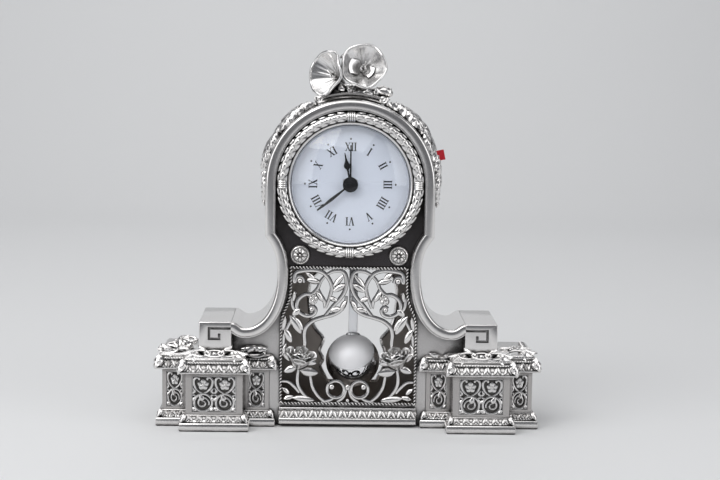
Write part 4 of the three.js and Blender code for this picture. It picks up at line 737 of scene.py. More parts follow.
def box_at(name, low, high):
    """A box between two corners."""
    fresh()
    middle = (Vector(low) + Vector(high)) / 2
    bpy.ops.mesh.primitive_cube_add(size=1)
    block = bpy.context.object
    block.name = name
    block.data.transform(Matrix.Translation(middle) @ Matrix.Diagonal((*(Vector(high) - Vector(low)), 1)))
    return block


def without(piece, tool):
    """A piece with the room of a tool taken away from it."""
    modifier(piece, "BOOLEAN", object=tool, operation="DIFFERENCE", solver="EXACT")
    bpy.data.objects.remove(tool)
    return piece


def meander():
    """The groove as bars of X and Z: along the top, down the outer side, back along the foot, up the hook."""
    left, right = BLOCK_INNER, BLOCK_OUTER - SIDE_MARGIN
    top, foot = SHOULDER_TOP - MARGIN, SHOULDER_TOP - MARGIN - MEANDER_TALL
    middle = BLOCK_INNER + HOOK_PLACE
    return [((left - 1, top - GROOVE), (right, top)), ((right - GROOVE, foot), (right, top)),
            ((middle, foot), (right, foot + GROOVE)),
            ((middle, foot), (middle + GROOVE, foot + HOOK + GROOVE))]


block = box_at("block", (BLOCK_INNER, FACE, CAP_TOP), (BLOCK_OUTER, SHELL_BACK, SHOULDER_TOP))
rounded(block, 0.7, segments=3)
for low, high in meander():
    without(block, box_at("bar", (low[0], FACE - 1, low[1]), (high[0], FACE + GROOVE_DEPTH, high[1])))
other = twinned(block, "block_left")
silvered(moulding, "front_moulding")
silvered(body, "case_shell")
silvered(block)
silvered(other)

# %% [markdown]
# The bezel is a turned ring with a laurel wreath cast on it. The ring is a profile spun round the dial
# axis: a broad half-round that carries the wreath, a groove, and a plain polished ring against the glass.
# The leaves lie three abreast and overlap like scales. They run from the bindings at the top and the foot
# to those at the sides.

# %% Bezel ring
BEZEL = bezel_high.x
CREST = bezel_low.y + 1.0
WREATH_MIDDLE = BEZEL - 3.0
lens_low, lens_high = span("lens")
LENS_RADIUS = lens_high.x
CENTRE = (0, 0, DIAL_LEVEL)
FACETS = 96

half_round = [(WREATH_MIDDLE + 2.9 * math.cos(a), CREST + 3.4 - 3.4 * math.sin(a))
              for a in [math.radians(18 * step) for step in range(11)]]
plain = [(39.15, CREST + 2.6), (38.9, CREST + 1.9), (38.3, CREST + 1.45), (37.6, CREST + 1.6),
         (37.1, CREST + 2.2), (36.8, CREST + 3.4), (LENS_RADIUS + 0.3, CREST + 4.6),
         (LENS_RADIUS + 0.3, PLATE_FRONT)]
bezel = spun("bezel", [(BEZEL, PLATE_FRONT), *half_round, *plain], FACETS, CENTRE)
silvered(bezel, "bezel_ring")

# %% [markdown]
# A leaf is modelled once, lying along the ring, and copied. A binding is a bundle of bars bent over the
# half-round.

# %% Wreath and bindings
STATIONS = 11
BINDING = 6.0


def on_wreath(angle, across, ahead):
    """Place of a leaf on the half-round: an angle clockwise from the top, a share across, and a heading."""
    lean = math.radians(54 * across)
    radius = WREATH_MIDDLE + 2.7 * math.sin(lean)
    depth = CREST + 3.4 - 3.3 * math.cos(lean)
    heading = 90 * ahead - ahead * 12 * across
    return at(*CENTRE) @ turn(angle) @ at(0, depth, radius) @ turn(-50 * across, "X") @ turn(heading)


scale_leaf = leaf("scale", 5.4, 2.7, 0.75, curl=0.35, wall=0.35, cells=(4, 6), broad=0.72)
places = []
for quarter in range(4):
    start, end = (0, 90) if quarter in (0, 2) else (90, 0)
    ahead = 1 if quarter in (0, 2) else -1
    for station in range(STATIONS):
        share = (station + 0.25) / STATIONS
        angle = 90 * quarter + (start + (end - start) * share)
        angle += BINDING * (0.5 - share) * ahead
        for across in (-0.85, 0.85, 0):
            shift = 0 if across else -2.2 * ahead
            places.append(on_wreath(angle + shift, across, ahead))
wreath = spread("wreath", scale_leaf, places)

bars = []
for quarter in range(4):
    for offset in (-1.9, -0.65, 0.65, 1.9):
        bend = [math.radians(15 * step) for step in range(13)]
        arc = [(CREST + 3.5 - 4.0 * math.sin(a), WREATH_MIDDLE + 3.2 * math.cos(a)) for a in bend]
        place = at(*CENTRE) @ turn(90 * quarter)
        bars.append([place @ Vector((offset, y, z)) for y, z in arc])
bindings = wires("bindings", bars, 1.25)
silvered(wreath)
silvered(bindings)

# %% [markdown]
# The dial is a white disc with printed numerals. A Roman numeral needs only three letters, each a few
# straight strokes with serifs, so the letters are drawn as strokes and stand with their feet to the middle,
# as on most round dials. The ink is a thin layer on the disc.

# %% Dial, numerals and dots
dial_low, dial_high = span("dial")
DIAL_FRONT, DIAL_RADIUS = dial_low.y, dial_high.x
INK = 0.06
NUMERAL_RADIUS, NUMERAL, DOT_RADIUS = 23.1, 5.2, 28.0
THICK, THIN, SERIF, LETTER_HALF, DOT = 0.85, 0.38, 0.3, 1.2, 0.58
NUMERALS = ["XII", "I", "II", "III", "IIII", "V", "VI", "VII", "VIII", "IX", "X", "XI"]
WIDTHS = {"I": 1.85, "V": 3.7, "X": 3.7}


def stroke(foot, head, width):
    """A slanting stroke between two places on the foot line and the head line."""
    half, tall = width / 2, NUMERAL / 2
    return [(foot - half, -tall), (foot + half, -tall), (head + half, tall), (head - half, tall)]


def serif(middle, level, reach=0.8):
    """A short bar that ends a stroke at the head line or the foot line."""
    side = 1 if level > 0 else -1
    low, high = sorted((level, level - side * SERIF))
    return [(middle - reach, low), (middle + reach, low), (middle + reach, high), (middle - reach, high)]


def letter(kind):
    """Strokes of a letter round its own middle."""
    tall = NUMERAL / 2
    if kind == "I":
        return [stroke(0, 0, THICK), serif(0, tall), serif(0, -tall)]
    if kind == "V":
        arms = [stroke(0, -LETTER_HALF, THICK), stroke(0, LETTER_HALF, THIN)]
        return arms + [serif(x, tall, 0.65) for x in (-LETTER_HALF, LETTER_HALF)]
    arms = [stroke(LETTER_HALF, -LETTER_HALF, THICK), stroke(-LETTER_HALF, LETTER_HALF, THIN)]
    return arms + [serif(x, z, 0.65) for x in (-LETTER_HALF, LETTER_HALF) for z in (-tall, tall)]


face = dome("dial_face", [(0, DIAL_FRONT), (DIAL_RADIUS - 0.2, DIAL_FRONT), (DIAL_RADIUS, DIAL_FRONT + 0.2),
                          (DIAL_RADIUS, dial_high.y), (0, dial_high.y)], FACETS, CENTRE)
placed(face, "case", FINISHES["dial_white"], ["dial"])

ink = []
for hour, numeral in enumerate(NUMERALS):
    place = at(*CENTRE) @ turn(30 * hour)
    x = -sum(WIDTHS[kind] for kind in numeral) / 2
    for kind in numeral:
        x += WIDTHS[kind] / 2
        for layer, outline in enumerate(letter(kind)):
            mark = slab("mark", outline, DIAL_FRONT - INK - 0.004 * layer, DIAL_FRONT + INK)
            mark.data.transform(place @ at(x, 0, NUMERAL_RADIUS))
            ink.append(mark)
        x += WIDTHS[kind] / 2
    dot = dome("dot", [(0, DIAL_FRONT - INK), (DOT, DIAL_FRONT - INK), (DOT, DIAL_FRONT + INK),
                       (0, DIAL_FRONT + INK)], 12)
    dot.data.transform(place @ at(0, 0, DOT_RADIUS))
    ink.append(dot)
placed(joined("dial_print", ink), "case", FINISHES["hand_black"])

# %% [markdown]
# The hands are stamped from thin sheet and painted black. The hour hand ends in a spade, the minute hand
# swells and comes to a point, and the second hand is a needle on a broad disc that hides the two hubs. Each
# is an outline of half widths along its length, doubled, filled, pushed to its thickness, and rounded.

# %% Hands
def hand(name, node_name, angle, halves, hub, body_name):
    """A hand from half widths at distances along it, with a round hub."""
    low, high = span(node_name)
    right = [(half, along) for along, half in halves]
    outline = [*right, *[(-x, z) for x, z in reversed(right) if x]]
    blade = slab(name, outline, low.y, high.y)
    disc = dome("hub", [(0, low.y - 0.04), (hub - 0.2, low.y - 0.04), (hub, low.y + 0.12),
                        (hub, high.y + 0.02), (0, high.y + 0.02)], 32)
    piece = joined(name, [rounded(blade, 0.12), disc])
    piece.data.transform(at(*CENTRE) @ turn(angle))
    return placed(piece, body_name, FINISHES["hand_black"], [node_name])


HOUR_ANGLE, MINUTE_ANGLE, SECOND_ANGLE = 349.25, 231.0, 0.0
hand("hour", "hour_hand", HOUR_ANGLE,
     [(0, 0.7), (8.4, 0.55), (9.4, 0.7), (10.3, 1.6), (11.2, 2.1), (12.2, 2.0), (13.4, 1.35), (14.8, 0.75),
      (16.4, 0.5), (19.8, 0.25)], 3.2, "hours")
hand("minute", "minute_hand", MINUTE_ANGLE,
     [(0, 0.55), (5, 0.5), (11, 0.85), (15.5, 1.0), (20, 0.7), (26.2, 0.2)], 2.6, "minutes")
hand("second", "second_hand", SECOND_ANGLE, [(-4, 0.55), (0, 0.55), (12, 0.5), (24.4, 0.4)], 4.7, "seconds")

# %% [markdown]
# The glass is a shallow dome, a spherical cap with an even wall, seated in the bezel.

# %% Lens
LENS_RISE, GLASS_WALL = 9.0, 1.2
RIM = lens_low.y + LENS_RISE
CAP_SPHERE = (LENS_RADIUS**2 + LENS_RISE**2) / (2 * LENS_RISE)
steps = [LENS_RADIUS * step / 14 for step in range(15)]
outer = [(r, RIM + (CAP_SPHERE - LENS_RISE) - math.sqrt(CAP_SPHERE**2 - r**2)) for r in steps]
inner = [(r * 0.985, y + GLASS_WALL) for r, y in reversed(outer)]
glass = dome("glass", [*outer, *inner], FACETS, CENTRE)
placed(glass, "case", FINISHES["lens_glass"], ["lens"])

# %% [markdown]
# The two rosettes under the dial are cast buttons: a rim, a ring of petals and a bead in the middle.

# %% Rosettes
rosette_low, rosette_high = span("rosette_right")
ROSETTE = (rosette_high.x - rosette_low.x) / 2
ROSETTE_PLACE = ((rosette_low.x + rosette_high.x) / 2, PLATE_FRONT, (rosette_low.z + rosette_high.z) / 2)
dish = [(0, 0), (0, -0.5), (4.6, -0.5), (4.9, -1.2), (5.2, -1.5), (5.6, -1.3), (5.8, -0.9), (6.0, -1.1),
        (6.2, -0.8), (ROSETTE, 0)]
button = dome("rosette", dish, 40)
petal = leaf("petal", 3.6, 2.0, 0.8, curl=-0.2, wall=0.4, cells=(4, 5), broad=1.25)
petals = spread("petals", petal, [at(0, -0.6, 0) @ turn(45 * n) @ at(0, 0, 0.9) for n in range(8)])
beads = [ball("bead", 0.95, (0, -1.3, 0), rings=6)]
beads += [ball("bead", 0.36, tuple(turn(45 * n + 22.5) @ Vector((0, -0.7, 3.9))), rings=4) for n in range(8)]
right_rosette = joined("rosette_right_dressed", [button, petals, *beads])
moved(right_rosette, *ROSETTE_PLACE)
left_rosette = twinned(right_rosette, "rosette_left_dressed")
silvered(right_rosette, "rosette_right")
silvered(left_rosette, "rosette_left")

# %% [markdown]
# The pedestals. Each is a wide block with a narrower one in front of it, cast in three layers: a plinth
# with a rounded foot, a plain body with pressed panels, and a cap with a broad leaf band. The right one is
# modelled and mirrored. Plinth and cap are the same plan at several heights, each grown or shrunk a little.

# %% Plan of a pedestal
body_low, body_high = span("pedestal_body_right")
cap_low, cap_high = span("pedestal_cap_right")
PLINTH_TOP = span("pedestal_plinth_right")[1].z
INNER, OUTER = body_low.x, body_high.x
FRONT, BACK = body_low.y, body_high.y
MIDDLE_X = (INNER + OUTER) / 2
FRONT_HALF = 17.6
WIDE = FRONT + 15.0
LAP = PLATE_FRONT - 0.3


def plan(grow):
    """Corners of the plan, grown on every side but the back and the side against the case."""
    left, right = MIDDLE_X - FRONT_HALF - grow, MIDDLE_X + FRONT_HALF + grow
    return [(INNER, BACK), (INNER, LAP), (INNER - grow, LAP), (INNER - grow, WIDE - grow),
            (left, WIDE - grow), (left, FRONT - grow), (right, FRONT - grow), (right, WIDE - grow),
            (OUTER + grow, WIDE - grow), (OUTER + grow, BACK)]


def stacked(name, layers):
    """Layers of height and growth, closed at both ends."""
    return loft(name, [[(x, y, z) for x, y in plan(grow)] for z, grow in layers], around=True, caps=True)


plinth = stacked("plinth_right", [
    (0, 3.1), (0.4, 3.6), (1.1, 3.9), (4.6, 3.75), (5.2, 3.4), (5.6, 2.8), (5.8, 2.4), (6.1, 2.2), (9.3, 0.7),
    (9.6, 0.9), (10.0, 0.8), (PLINTH_TOP, 0.3)])
cap = stacked("cap_right", [
    (cap_low.z, 3.0), (36.3, 4.0), (36.9, 4.5), (37.4, 4.4), (37.7, 4.0), (42.0, 1.5), (42.3, 2.0),
    (42.9, 2.2), (43.5, 2.0), (43.8, 1.2), (44.2, 1.2), (44.5, 1.6), (45.0, 1.6), (45.3, 1.0), (45.7, 0.7),
    (cap_high.z, 0.3)])
for piece in (plinth, cap):
    rounded(piece, 0.35, segments=2, angle=50)
left_plinth, left_cap = twinned(plinth, "plinth_left"), twinned(cap, "cap_left")
for piece, replaced in ((plinth, "pedestal_plinth_right"), (left_plinth, "pedestal_plinth_left"),
                        (cap, "pedestal_cap_right"), (left_cap, "pedestal_cap_left")):
    silvered(piece, replaced)

# %% [markdown]
# Leaves stand side by side along the sloping bands, with a larger one folded over every outward corner. A
# leaf is laid against a slope by a frame of three directions: its face looks out of the slope and its tip
# points down it.

# %% Leaf bands
def facing(place, front, up):
    """A frame at a place, with its face towards the front and its height towards the given direction."""
    y = -Vector(front).normalized()
    z = Vector(up) - Vector(up).dot(y) * y
    z.normalize()
    x = y.cross(z)
    return Matrix.Translation(place) @ Matrix((x, y, z)).transposed().to_4x4()


def band_places(top, foot, pitch):
    """Frames along the outward edges of the plan, between two layers of height and growth. Leaves point
    down from them, and the corners come as a list of their own."""
    upper, lower = plan(top[1]), plan(foot[1])
    along, corners = [], []
    edges = [(3, 4), (4, 5), (5, 6), (6, 7), (7, 8), (8, 9)]
    for a, b in edges:
        u0, u1 = (Vector((*upper[k], top[0])) for k in (a, b))
        l0, l1 = (Vector((*lower[k], foot[0])) for k in (a, b))
        run = (u1 - u0).normalized()
        slope = (l0 + l1 - u0 - u1) / 2
        slope -= slope.dot(run) * run
        out = run.cross(slope).normalized()
        out = out if out.z > 0 else -out
        length = (u1 - u0).length
        count = max(1, round(length / pitch))
        for n in range(count):
            along.append(facing(u0.lerp(u1, (n + 0.5) / count), out, slope))
    for k in (3, 5, 6, 8):
        start, end = Vector((*upper[k], top[0])), Vector((*lower[k], foot[0]))
        slope = end - start
        side = slope.cross(Vector((0, 0, 1)))
        out = side.cross(slope).normalized()
        out = out if out.z > 0 else -out
        corners.append(facing(start, out, slope))
    return along, corners


def chevron(name, height, pitch):
    """One unit of a leaf-and-dart band, hung from the origin: two leaves spread like a gable, with a dot
    between their feet and half a dart on either side."""
    spread_angle = math.degrees(math.atan2(0.36 * pitch, height))
    blades = []
    for side in (-1, 1):
        blade = leaf("blade", 1.04 * height, 0.36 * pitch, 0.8, curl=0.3, wall=0.5, cells=(4, 6), broad=0.6)
        blade.data.transform(at(side * 0.03 * pitch, -0.1, 0) @ turn(side * spread_angle))
        dart = leaf("dart", 0.62 * height, 0.2 * pitch, 0.6, wall=0.4, cells=(4, 5))
        dart.data.transform(at(side * 0.47 * pitch, -0.1, 0.05 * height))
        blades += [blade, dart]
    return joined(name, [*blades, ball("dot", 0.11 * pitch, (0, -0.4, 0.9 * height), rings=5)])


CAP_BAND = ((41.9, 1.5), (37.5, 4.2))
PLINTH_BAND = ((9.2, 0.7), (6.1, 2.3))
BAND_PITCH = 5.9
corner_leaf = leaf("corner_leaf", 9.6, 8.2, 2.3, curl=-0.5, teeth=3, wall=0.8, cells=(8, 12), broad=1.0)
along, corners = band_places(*CAP_BAND, BAND_PITCH)
cap_leaves = joined("cap_leaves_right", [
    spread("chevrons", chevron("chevron", 5.0, BAND_PITCH), along),
    spread("corner_leaves", corner_leaf, [corner @ at(0, -0.5, -3.2) for corner in corners])])

foot_leaf = leaf("foot_leaf", 5.6, 5.2, 1.2, curl=0.2, teeth=3, wall=0.5, cells=(8, 8), broad=0.9)
along, corners = band_places(*PLINTH_BAND, BAND_PITCH)
plinth_leaves = joined("plinth_leaves_right", [
    spread("chevrons", chevron("chevron", 3.5, BAND_PITCH), along),
    spread("foot_leaves", foot_leaf, [corner @ at(0, -0.3, -1.0) for corner in corners])])

BEAD_LEVEL, BEAD_GROW, BEAD_PITCH = 42.9, 2.2, 1.7
string = [Vector((x, y, BEAD_LEVEL)) for x, y in plan(BEAD_GROW)[3:]]
spots = []
for a, b in zip(string, string[1:]):
    count = round((b - a).length / BEAD_PITCH)
    spots += [Matrix.Translation(a.lerp(b, n / count)) for n in range(count)]
cap_beads = spread("cap_beads_right", ball("bead", 0.62, (0, 0, 0), rings=4), spots)
for piece in (cap_leaves, plinth_leaves, cap_beads):
    other = twinned(piece, piece.name.replace("right", "left"))
    silvered(piece)
    silvered(other)

# %% [markdown]
# The panels are pressed filigree over a dark ground. Every panel is made of the same two cells: a flower
# between two scrolls above, and a ring with a curl of leaves in it below. The cells are drawn in their own
# plane and copied into the panels, one column wide on the returns, two on the front and three on the sides.

# %% Cells of the filigree
CELL_WIDTH, CELL_HEIGHT = 13.0, 10.9
WIRE, SPIRAL_STEPS = 1.7, 26


def flower(name, radius, petals, cup=0.5):
    """A small flower that looks to the front: a ring of petals round a ball."""
    petal = leaf("petal", radius, radius * 0.85, cup, curl=0.3, wall=0.4, cells=(4, 4), broad=1.3)
    petal_ring = spread("petals", petal, [turn(360 * n / petals) for n in range(petals)])
    return joined(name, [petal_ring, ball("heart", radius * 0.26, (0, -cup, 0), rings=5)])


def spiral(x, z, radius, end_radius, start, sweep):
    """A flat spiral as points, its angles in degrees."""
    route = []
    for step in range(SPIRAL_STEPS + 1):
        t = step / SPIRAL_STEPS
        a, r = math.radians(start + sweep * t), radius + (end_radius - radius) * t
        route.append(Vector((x + r * math.cos(a), 0, z + r * math.sin(a))))
    return route


scrolls = []
for side in (-1, 1):
    lyre = through([(side * 0.4, 0, -5.2), (side * 3.2, 0, -3.4), (side * 5.2, 0, -0.4), (side * 5.6, 0, 2.8),
                    (side * 4.2, 0, 4.7), (side * 2.6, 0, 4.3), (side * 2.5, 0, 3.1)], 5)
    scrolls.append(lyre)
    scrolls.append(through([(side * 6.3, 0, -5.2), (side * 5.0, 0, -3.7), (side * 5.9, 0, -1.8)], 4))
upper_cell = joined("upper_cell", [wires("scrolls", scrolls, WIRE, ends=(0.6, 0.7), flat=0.9),
                                   moved(flower("bloom", 3.5, 5), 0, -0.2, 0.3)])
outer_ring = spiral(0, 0, 5.4, 5.4, 90, 360)
inner_curl = spiral(0.2, -0.2, 3.9, 1.0, 200, -470)
curls = [through([(side * 6.2, 0, 4.9), (side * 4.9, 0, 4.3), (side * 4.6, 0, 3.0)], 4) for side in (-1, 1)]
CELL_BUDS = [(-3.9, -4.9, -60, 3.2), (3.9, -4.9, 60, 3.2), (0.3, 0.9, 20, 4.4), (-6.2, 0.8, 28, 2.8),
             (6.2, 0.8, -28, 2.8)]
buds = []
for x, z, angle, length in CELL_BUDS:
    bud = leaf("bud", length, 0.66 * length, 0.7, wall=0.4, cells=(4, 5))
    bud.data.transform(at(x, -0.3, z) @ turn(angle))
    buds.append(bud)
lower_cell = joined("lower_cell", [
    wires("ring", [outer_ring], WIRE, flat=0.9),
    wires("curl", [inner_curl, *curls], 1.35, ends=(0.8, 0.5), flat=0.9), *buds])

# %% Panels of the filigree
def panel_frames():
    """Name, frame, columns and width of each panel of the right pedestal. A frame looks out of its panel."""
    frames = []
    for name, columns in (("front", 2), ("outer", 1), ("inner", 1), ("side", 3)):
        low, high = span(f"filigree_{name}_right")
        middle = (low + high) / 2
        if name == "side":
            place = at(high.x - 1.0, middle.y, middle.z) @ turn(90, "Z")
            frames.append((name, place, columns, high.y - low.y))
        else:
            frames.append((name, at(middle.x, low.y + 1.0, middle.z), columns, high.x - low.x))
    return frames


PANEL_HEIGHT = 22.0
for name, place, columns, wide in panel_frames():
    pitch = wide / columns
    fit = Matrix.Diagonal((pitch / CELL_WIDTH, 1, PANEL_HEIGHT / 2 / CELL_HEIGHT, 1))
    cells = []
    for column in range(columns):
        x = (column + 0.5 - columns / 2) * pitch
        for model, level in ((upper_cell, PANEL_HEIGHT / 4), (lower_cell, -PANEL_HEIGHT / 4)):
            cells.append(copied(model, place @ at(x, 0, level) @ fit))
    half, tall = wide / 2, PANEL_HEIGHT / 2
    edge = [(-half, -tall), (half, -tall), (half, tall), (-half, tall), (-half, -tall)]
    border = wires("border", [[place @ Vector((x, 0, z)) for x, z in edge]], 1.0)
    filigree = joined(f"filigree_{name}_right_dressed", [*cells, border])
    ground = box_at(f"ground_{name}_right", (-half, 0.4, -tall), (half, 0.7, tall))
    ground.data.transform(place)
    for piece, finish in ((filigree, "antique_silver"), (ground, "recess")):
        other = twinned(piece, piece.name.replace("right", "left"))
        keep = finish == "antique_silver"
        placed(piece, "case", FINISHES[finish], [f"filigree_{name}_right"] if keep else ())
        placed(other, "case", FINISHES[finish], [f"filigree_{name}_left"] if keep else ())
bpy.data.objects.remove(upper_cell)
bpy.data.objects.remove(lower_cell)

# %% [markdown]
# The window in front of the pendulum has a rope border, cast as a row of slanting beads. The beads follow
# the edge of the window: up the straight foot, in along the flare, up the narrow head and across.

# %% Rope border
rope_low, rope_high = span("rope_border")
ROPE = 2.2
FOOT_HALF = rope_high.x - ROPE / 2
HEAD_HALF = NECK[0] - BAND - 0.5 - ROPE / 2
WINDOW_FOOT, WINDOW_HEAD = rope_low.z + ROPE / 2, rope_high.z - ROPE / 2
FLARE_FOOT, FLARE_HEAD = 62.0, 88.0


def window_side():
    """Right edge of the window, from its foot to its head."""
    flare = bezier((FOOT_HALF, FLARE_FOOT), (FOOT_HALF, FLARE_FOOT + 13), (HEAD_HALF, FLARE_HEAD - 13),
                   (HEAD_HALF, FLARE_HEAD), 10)
    return [(FOOT_HALF, WINDOW_FOOT), (FOOT_HALF, FLARE_FOOT), *flare, (HEAD_HALF, WINDOW_HEAD)]


def paced(route, pitch):
    """Places at an even pace along a route, with the direction there."""
    places, rest = [], 0.0
    for a, b in zip(route, route[1:]):
        a, b = Vector(a), Vector(b)
        length = (b - a).length
        while rest < length:
            places.append((a.lerp(b, rest / length), (b - a) / length))
            rest += pitch
        rest -= length
    return places


def with_flank_shade(piece):
    """Stores how far each vertex looks sideways, for a finish that paints shade on what looks sideways."""
    # Painted shade mask: 0 where a vertex faces the front, 1 where it looks sideways or back.
    stored = piece.data.attributes.new(FLANK_SHADE, "FLOAT", "POINT")
    for vertex, entry in zip(piece.data.vertices, stored.data):
        entry.value = 1 + min(0, vertex.normal.y)
    return piece


edge = window_side()
edge = [*edge, *[(-x, z) for x, z in reversed(edge)], edge[0]]
strands = []
for spot, run in paced(edge, 2.1):
    lean = math.degrees(math.atan2(run[0], run[1])) + 45
    strands.append(at(spot[0], PLATE_FRONT - 0.75, spot[1]) @ turn(lean))
rope = spread("rope", ball("strand", 1.0, (0, 0, 0), stretch=(0.62, 1.15, 1.45), rings=6), strands)
with_flank_shade(rope)
placed(rope, "case", FINISHES["pierced_silver"], ["rope_border"], angle=60)

# %% [markdown]
# The scrollwork is one casting of round-backed bands. Its right half is a handful of routes drawn through a
# few points each, in X and Z, and the left half mirrors them. Bands follow the routes as wires that are
# pressed a little flat.

# %% Bands of the scrollwork
FRET_PLANE = PLATE_FRONT - 0.3
HEAD_SCROLL = [(27.8, 91.4), (29.2, 94.6), (32.4, 94.6), (33.9, 91.6), (33.4, 97.0), (28.1, 98.8),
               (20.0, 98.9), (14.4, 96.2), (10.8, 89.9), (11.6, 83.5), (14.6, 75.5)]
OGEE = [(1.6, 83.0), (2.0, 79.0), (4.4, 74.6), (9.4, 71.4), (15.6, 69.6), (21.8, 67.4), (26.2, 63.6),
        (27.5, 59.0), (27.2, 53.5), (27.6, 49.5)]
INNER_SCROLL = [(14.0, 96.4), (9.4, 98.6), (3.6, 98.2), (1.5, 93.1), (2.4, 86.7), (5.4, 81.4), (9.6, 76.8),
                (14.6, 70.4)]
BRANCH = [(14.4, 96.0), (17.5, 92.4), (19.6, 87.6), (23.1, 84.0), (27.0, 83.9), (31.2, 81.0), (32.4, 76.6),
          (30.4, 72.2), (26.0, 70.2), (22.0, 71.2), (20.6, 74.2), (22.4, 76.4), (24.6, 75.4)]
RING_LEFT = [(19.4, 88.0), (17.8, 84.0), (15.4, 80.0), (14.8, 75.0)]
BORDER_STEM = [(40.6, 51.0), (40.2, 57.0), (38.6, 62.0), (36.0, 67.0), (33.4, 71.0), (31.4, 74.0)]
BORDER_CURL = [(33.0, 85.0), (35.2, 81.5), (34.8, 76.0), (32.2, 71.5)]
ROSE_STEM = [(31.0, 36.0), (31.6, 31.0), (31.0, 26.0), (27.6, 20.4), (22.0, 15.6)]
LEAF_STEM = [(23.6, 33.0), (22.6, 27.0), (20.8, 22.6), (17.2, 18.0), (13.4, 15.6)]
CORNER_STEM = [(41.4, 28.6), (37.4, 28.4), (33.6, 25.4), (30.4, 21.4)]
TAIL = [(9.0, 17.9), (12.0, 16.6), (16.4, 15.6)]
FLEURON = [(0.8, 23.6), (2.4, 19.4), (4.4, 17.2), (6.6, 15.8)]
VOLUTE = (7.5, 23.7, 5.4)


def drawn(points):
    """Both halves of a route, smooth, in the plane of Y zero."""
    right = through([(x, 0, z) for x, z in points], 6)
    return [right, [Vector((-point.x, 0, point.z)) for point in right]]


def bands(name, routes, thick, ends):
    """Bands along both halves of some routes, on the plane of the scrollwork."""
    halves = [half for points in routes for half in drawn(points)]
    return moved(wires(name, halves, thick, ends=ends, flat=0.85), y=FRET_PLANE)


x, z, radius = VOLUTE
volutes = [spiral(side * x, z, radius, radius, 0, 360) for side in (-1, 1)]
heavy = bands("heavy", [HEAD_SCROLL, OGEE, INNER_SCROLL, BRANCH], 2.8, (0.7, 0.8))
light_routes = [RING_LEFT, BORDER_STEM, BORDER_CURL, ROSE_STEM, LEAF_STEM, CORNER_STEM, TAIL, FLEURON]
light_bands = bands("light", light_routes, 2.4, (0.75, 0.65))
rings = moved(wires("volutes", volutes, 2.3, flat=0.9), y=FRET_PLANE)
eyes = []
for side in (-1, 1):
    for ex, ez, er in ((10.0, 25.3, 1.9), (30.6, 92.4, 1.9), (23.0, 74.4, 1.7), (0.01, 16.6, 1.2)):
        eyes.append(ball("eye", er, (side * ex, FRET_PLANE - 0.5, ez), stretch=(1, 0.8, 1), rings=6))
knot = ball("knot", 1.6, (0, FRET_PLANE - 0.6, 25.0), stretch=(1.1, 0.7, 1.2), rings=6)
scrollwork = joined("scrollwork", [heavy, light_bands, rings, *eyes, knot])

# %% [markdown]
# Leaves grow where bands part. Each is the same folded leaf at another length, laid from one point to
# another.

# %% Leaves of the scrollwork
FRET_LEAVES = [
    ((2.2, 90.6), (10.2, 85.6), 3.8), ((10.0, 88.6), (3.0, 96.6), 3.0), ((18.0, 91.6), (26.6, 93.2), 3.6),
    ((20.4, 86.0), (16.0, 79.4), 3.2), ((24.6, 81.6), (21.2, 77.4), 4.2), ((33.8, 86.0), (34.6, 79.2), 2.6),
    ((30.4, 74.6), (35.0, 70.4), 4.4), ((36.8, 70.6), (29.2, 58.6), 4.8), ((33.2, 69.4), (28.4, 60.8), 3.4),
    ((40.0, 62.0), (35.4, 53.0), 4.6), ((29.8, 42.6), (19.4, 40.2), 5.4), ((30.0, 35.6), (18.4, 34.0), 6.2),
    ((32.0, 38.0), (40.2, 34.6), 4.6), ((34.8, 18.2), (20.2, 16.6), 4.4), ((40.4, 17.4), (33.6, 19.0), 3.4),
    ((4.6, 75.2), (11.4, 73.6), 3.4), ((1.6, 80.4), (5.4, 73.6), 3.0), ((39.4, 70.4), (41.0, 60.4), 3.0),
    ((38.8, 53.0), (41.2, 44.4), 3.2), ((41.0, 47.4), (36.4, 41.6), 3.4), ((27.0, 97.6), (21.4, 93.6), 3.0),
    ((12.4, 82.0), (7.0, 80.0), 3.0), ((41.0, 24.6), (36.6, 20.6), 3.0)]
blades = []
for (x0, z0), (x1, z1), width in FRET_LEAVES:
    length = math.hypot(x1 - x0, z1 - z0)
    blade = leaf("blade", length, width, 1.2, curl=0.3, wall=0.6, cells=(6, 8), broad=0.85)
    blade.data.transform(at(x0, FRET_PLANE - 0.2, z0) @ turn(math.degrees(math.atan2(x1 - x0, z1 - z0))))
    blades += [blade, twinned(blade, "blade")]
for side in (-1, 1):
    blades.append(moved(flower("fret_bloom", 3.0, 5, 0.8), side * 21.8, FRET_PLANE - 0.9, 81.0))
fret_leaves = joined("fret_leaves", blades)

# %% [markdown]
# A rose is a cup of petals in four rows. A petal is a bent sheet: it starts at the stalk, widens and rolls
# its lip outward. Rows nearer the middle are narrower and stand higher.

# %% Roses
PETAL_WALL = 0.6


def petal_sheet(name, radius, height, spread_angle, lip):
    """One petal of a cup round Z, with a rolled lip."""
    rows = []
    for j in range(9):
        v = j / 8
        roll = max(0.0, v - 0.7) / 0.3
        r = radius * (0.22 + 0.78 * v**0.7) + lip * roll
        rise = height * v - 0.6 * lip * roll**2
        reach = math.radians(spread_angle) * (0.55 + 0.45 * math.sin(math.pi * min(1, v + 0.2)))
        row = []
        for i in range(7):
            u = 2 * i / 6 - 1
            sag = 0.1 * height * abs(u) ** 2.5 * v
            row.append((r * math.sin(reach * u), -r * math.cos(reach * u), rise - sag))
        rows.append(row)
    return walled(loft(name, rows), PETAL_WALL)


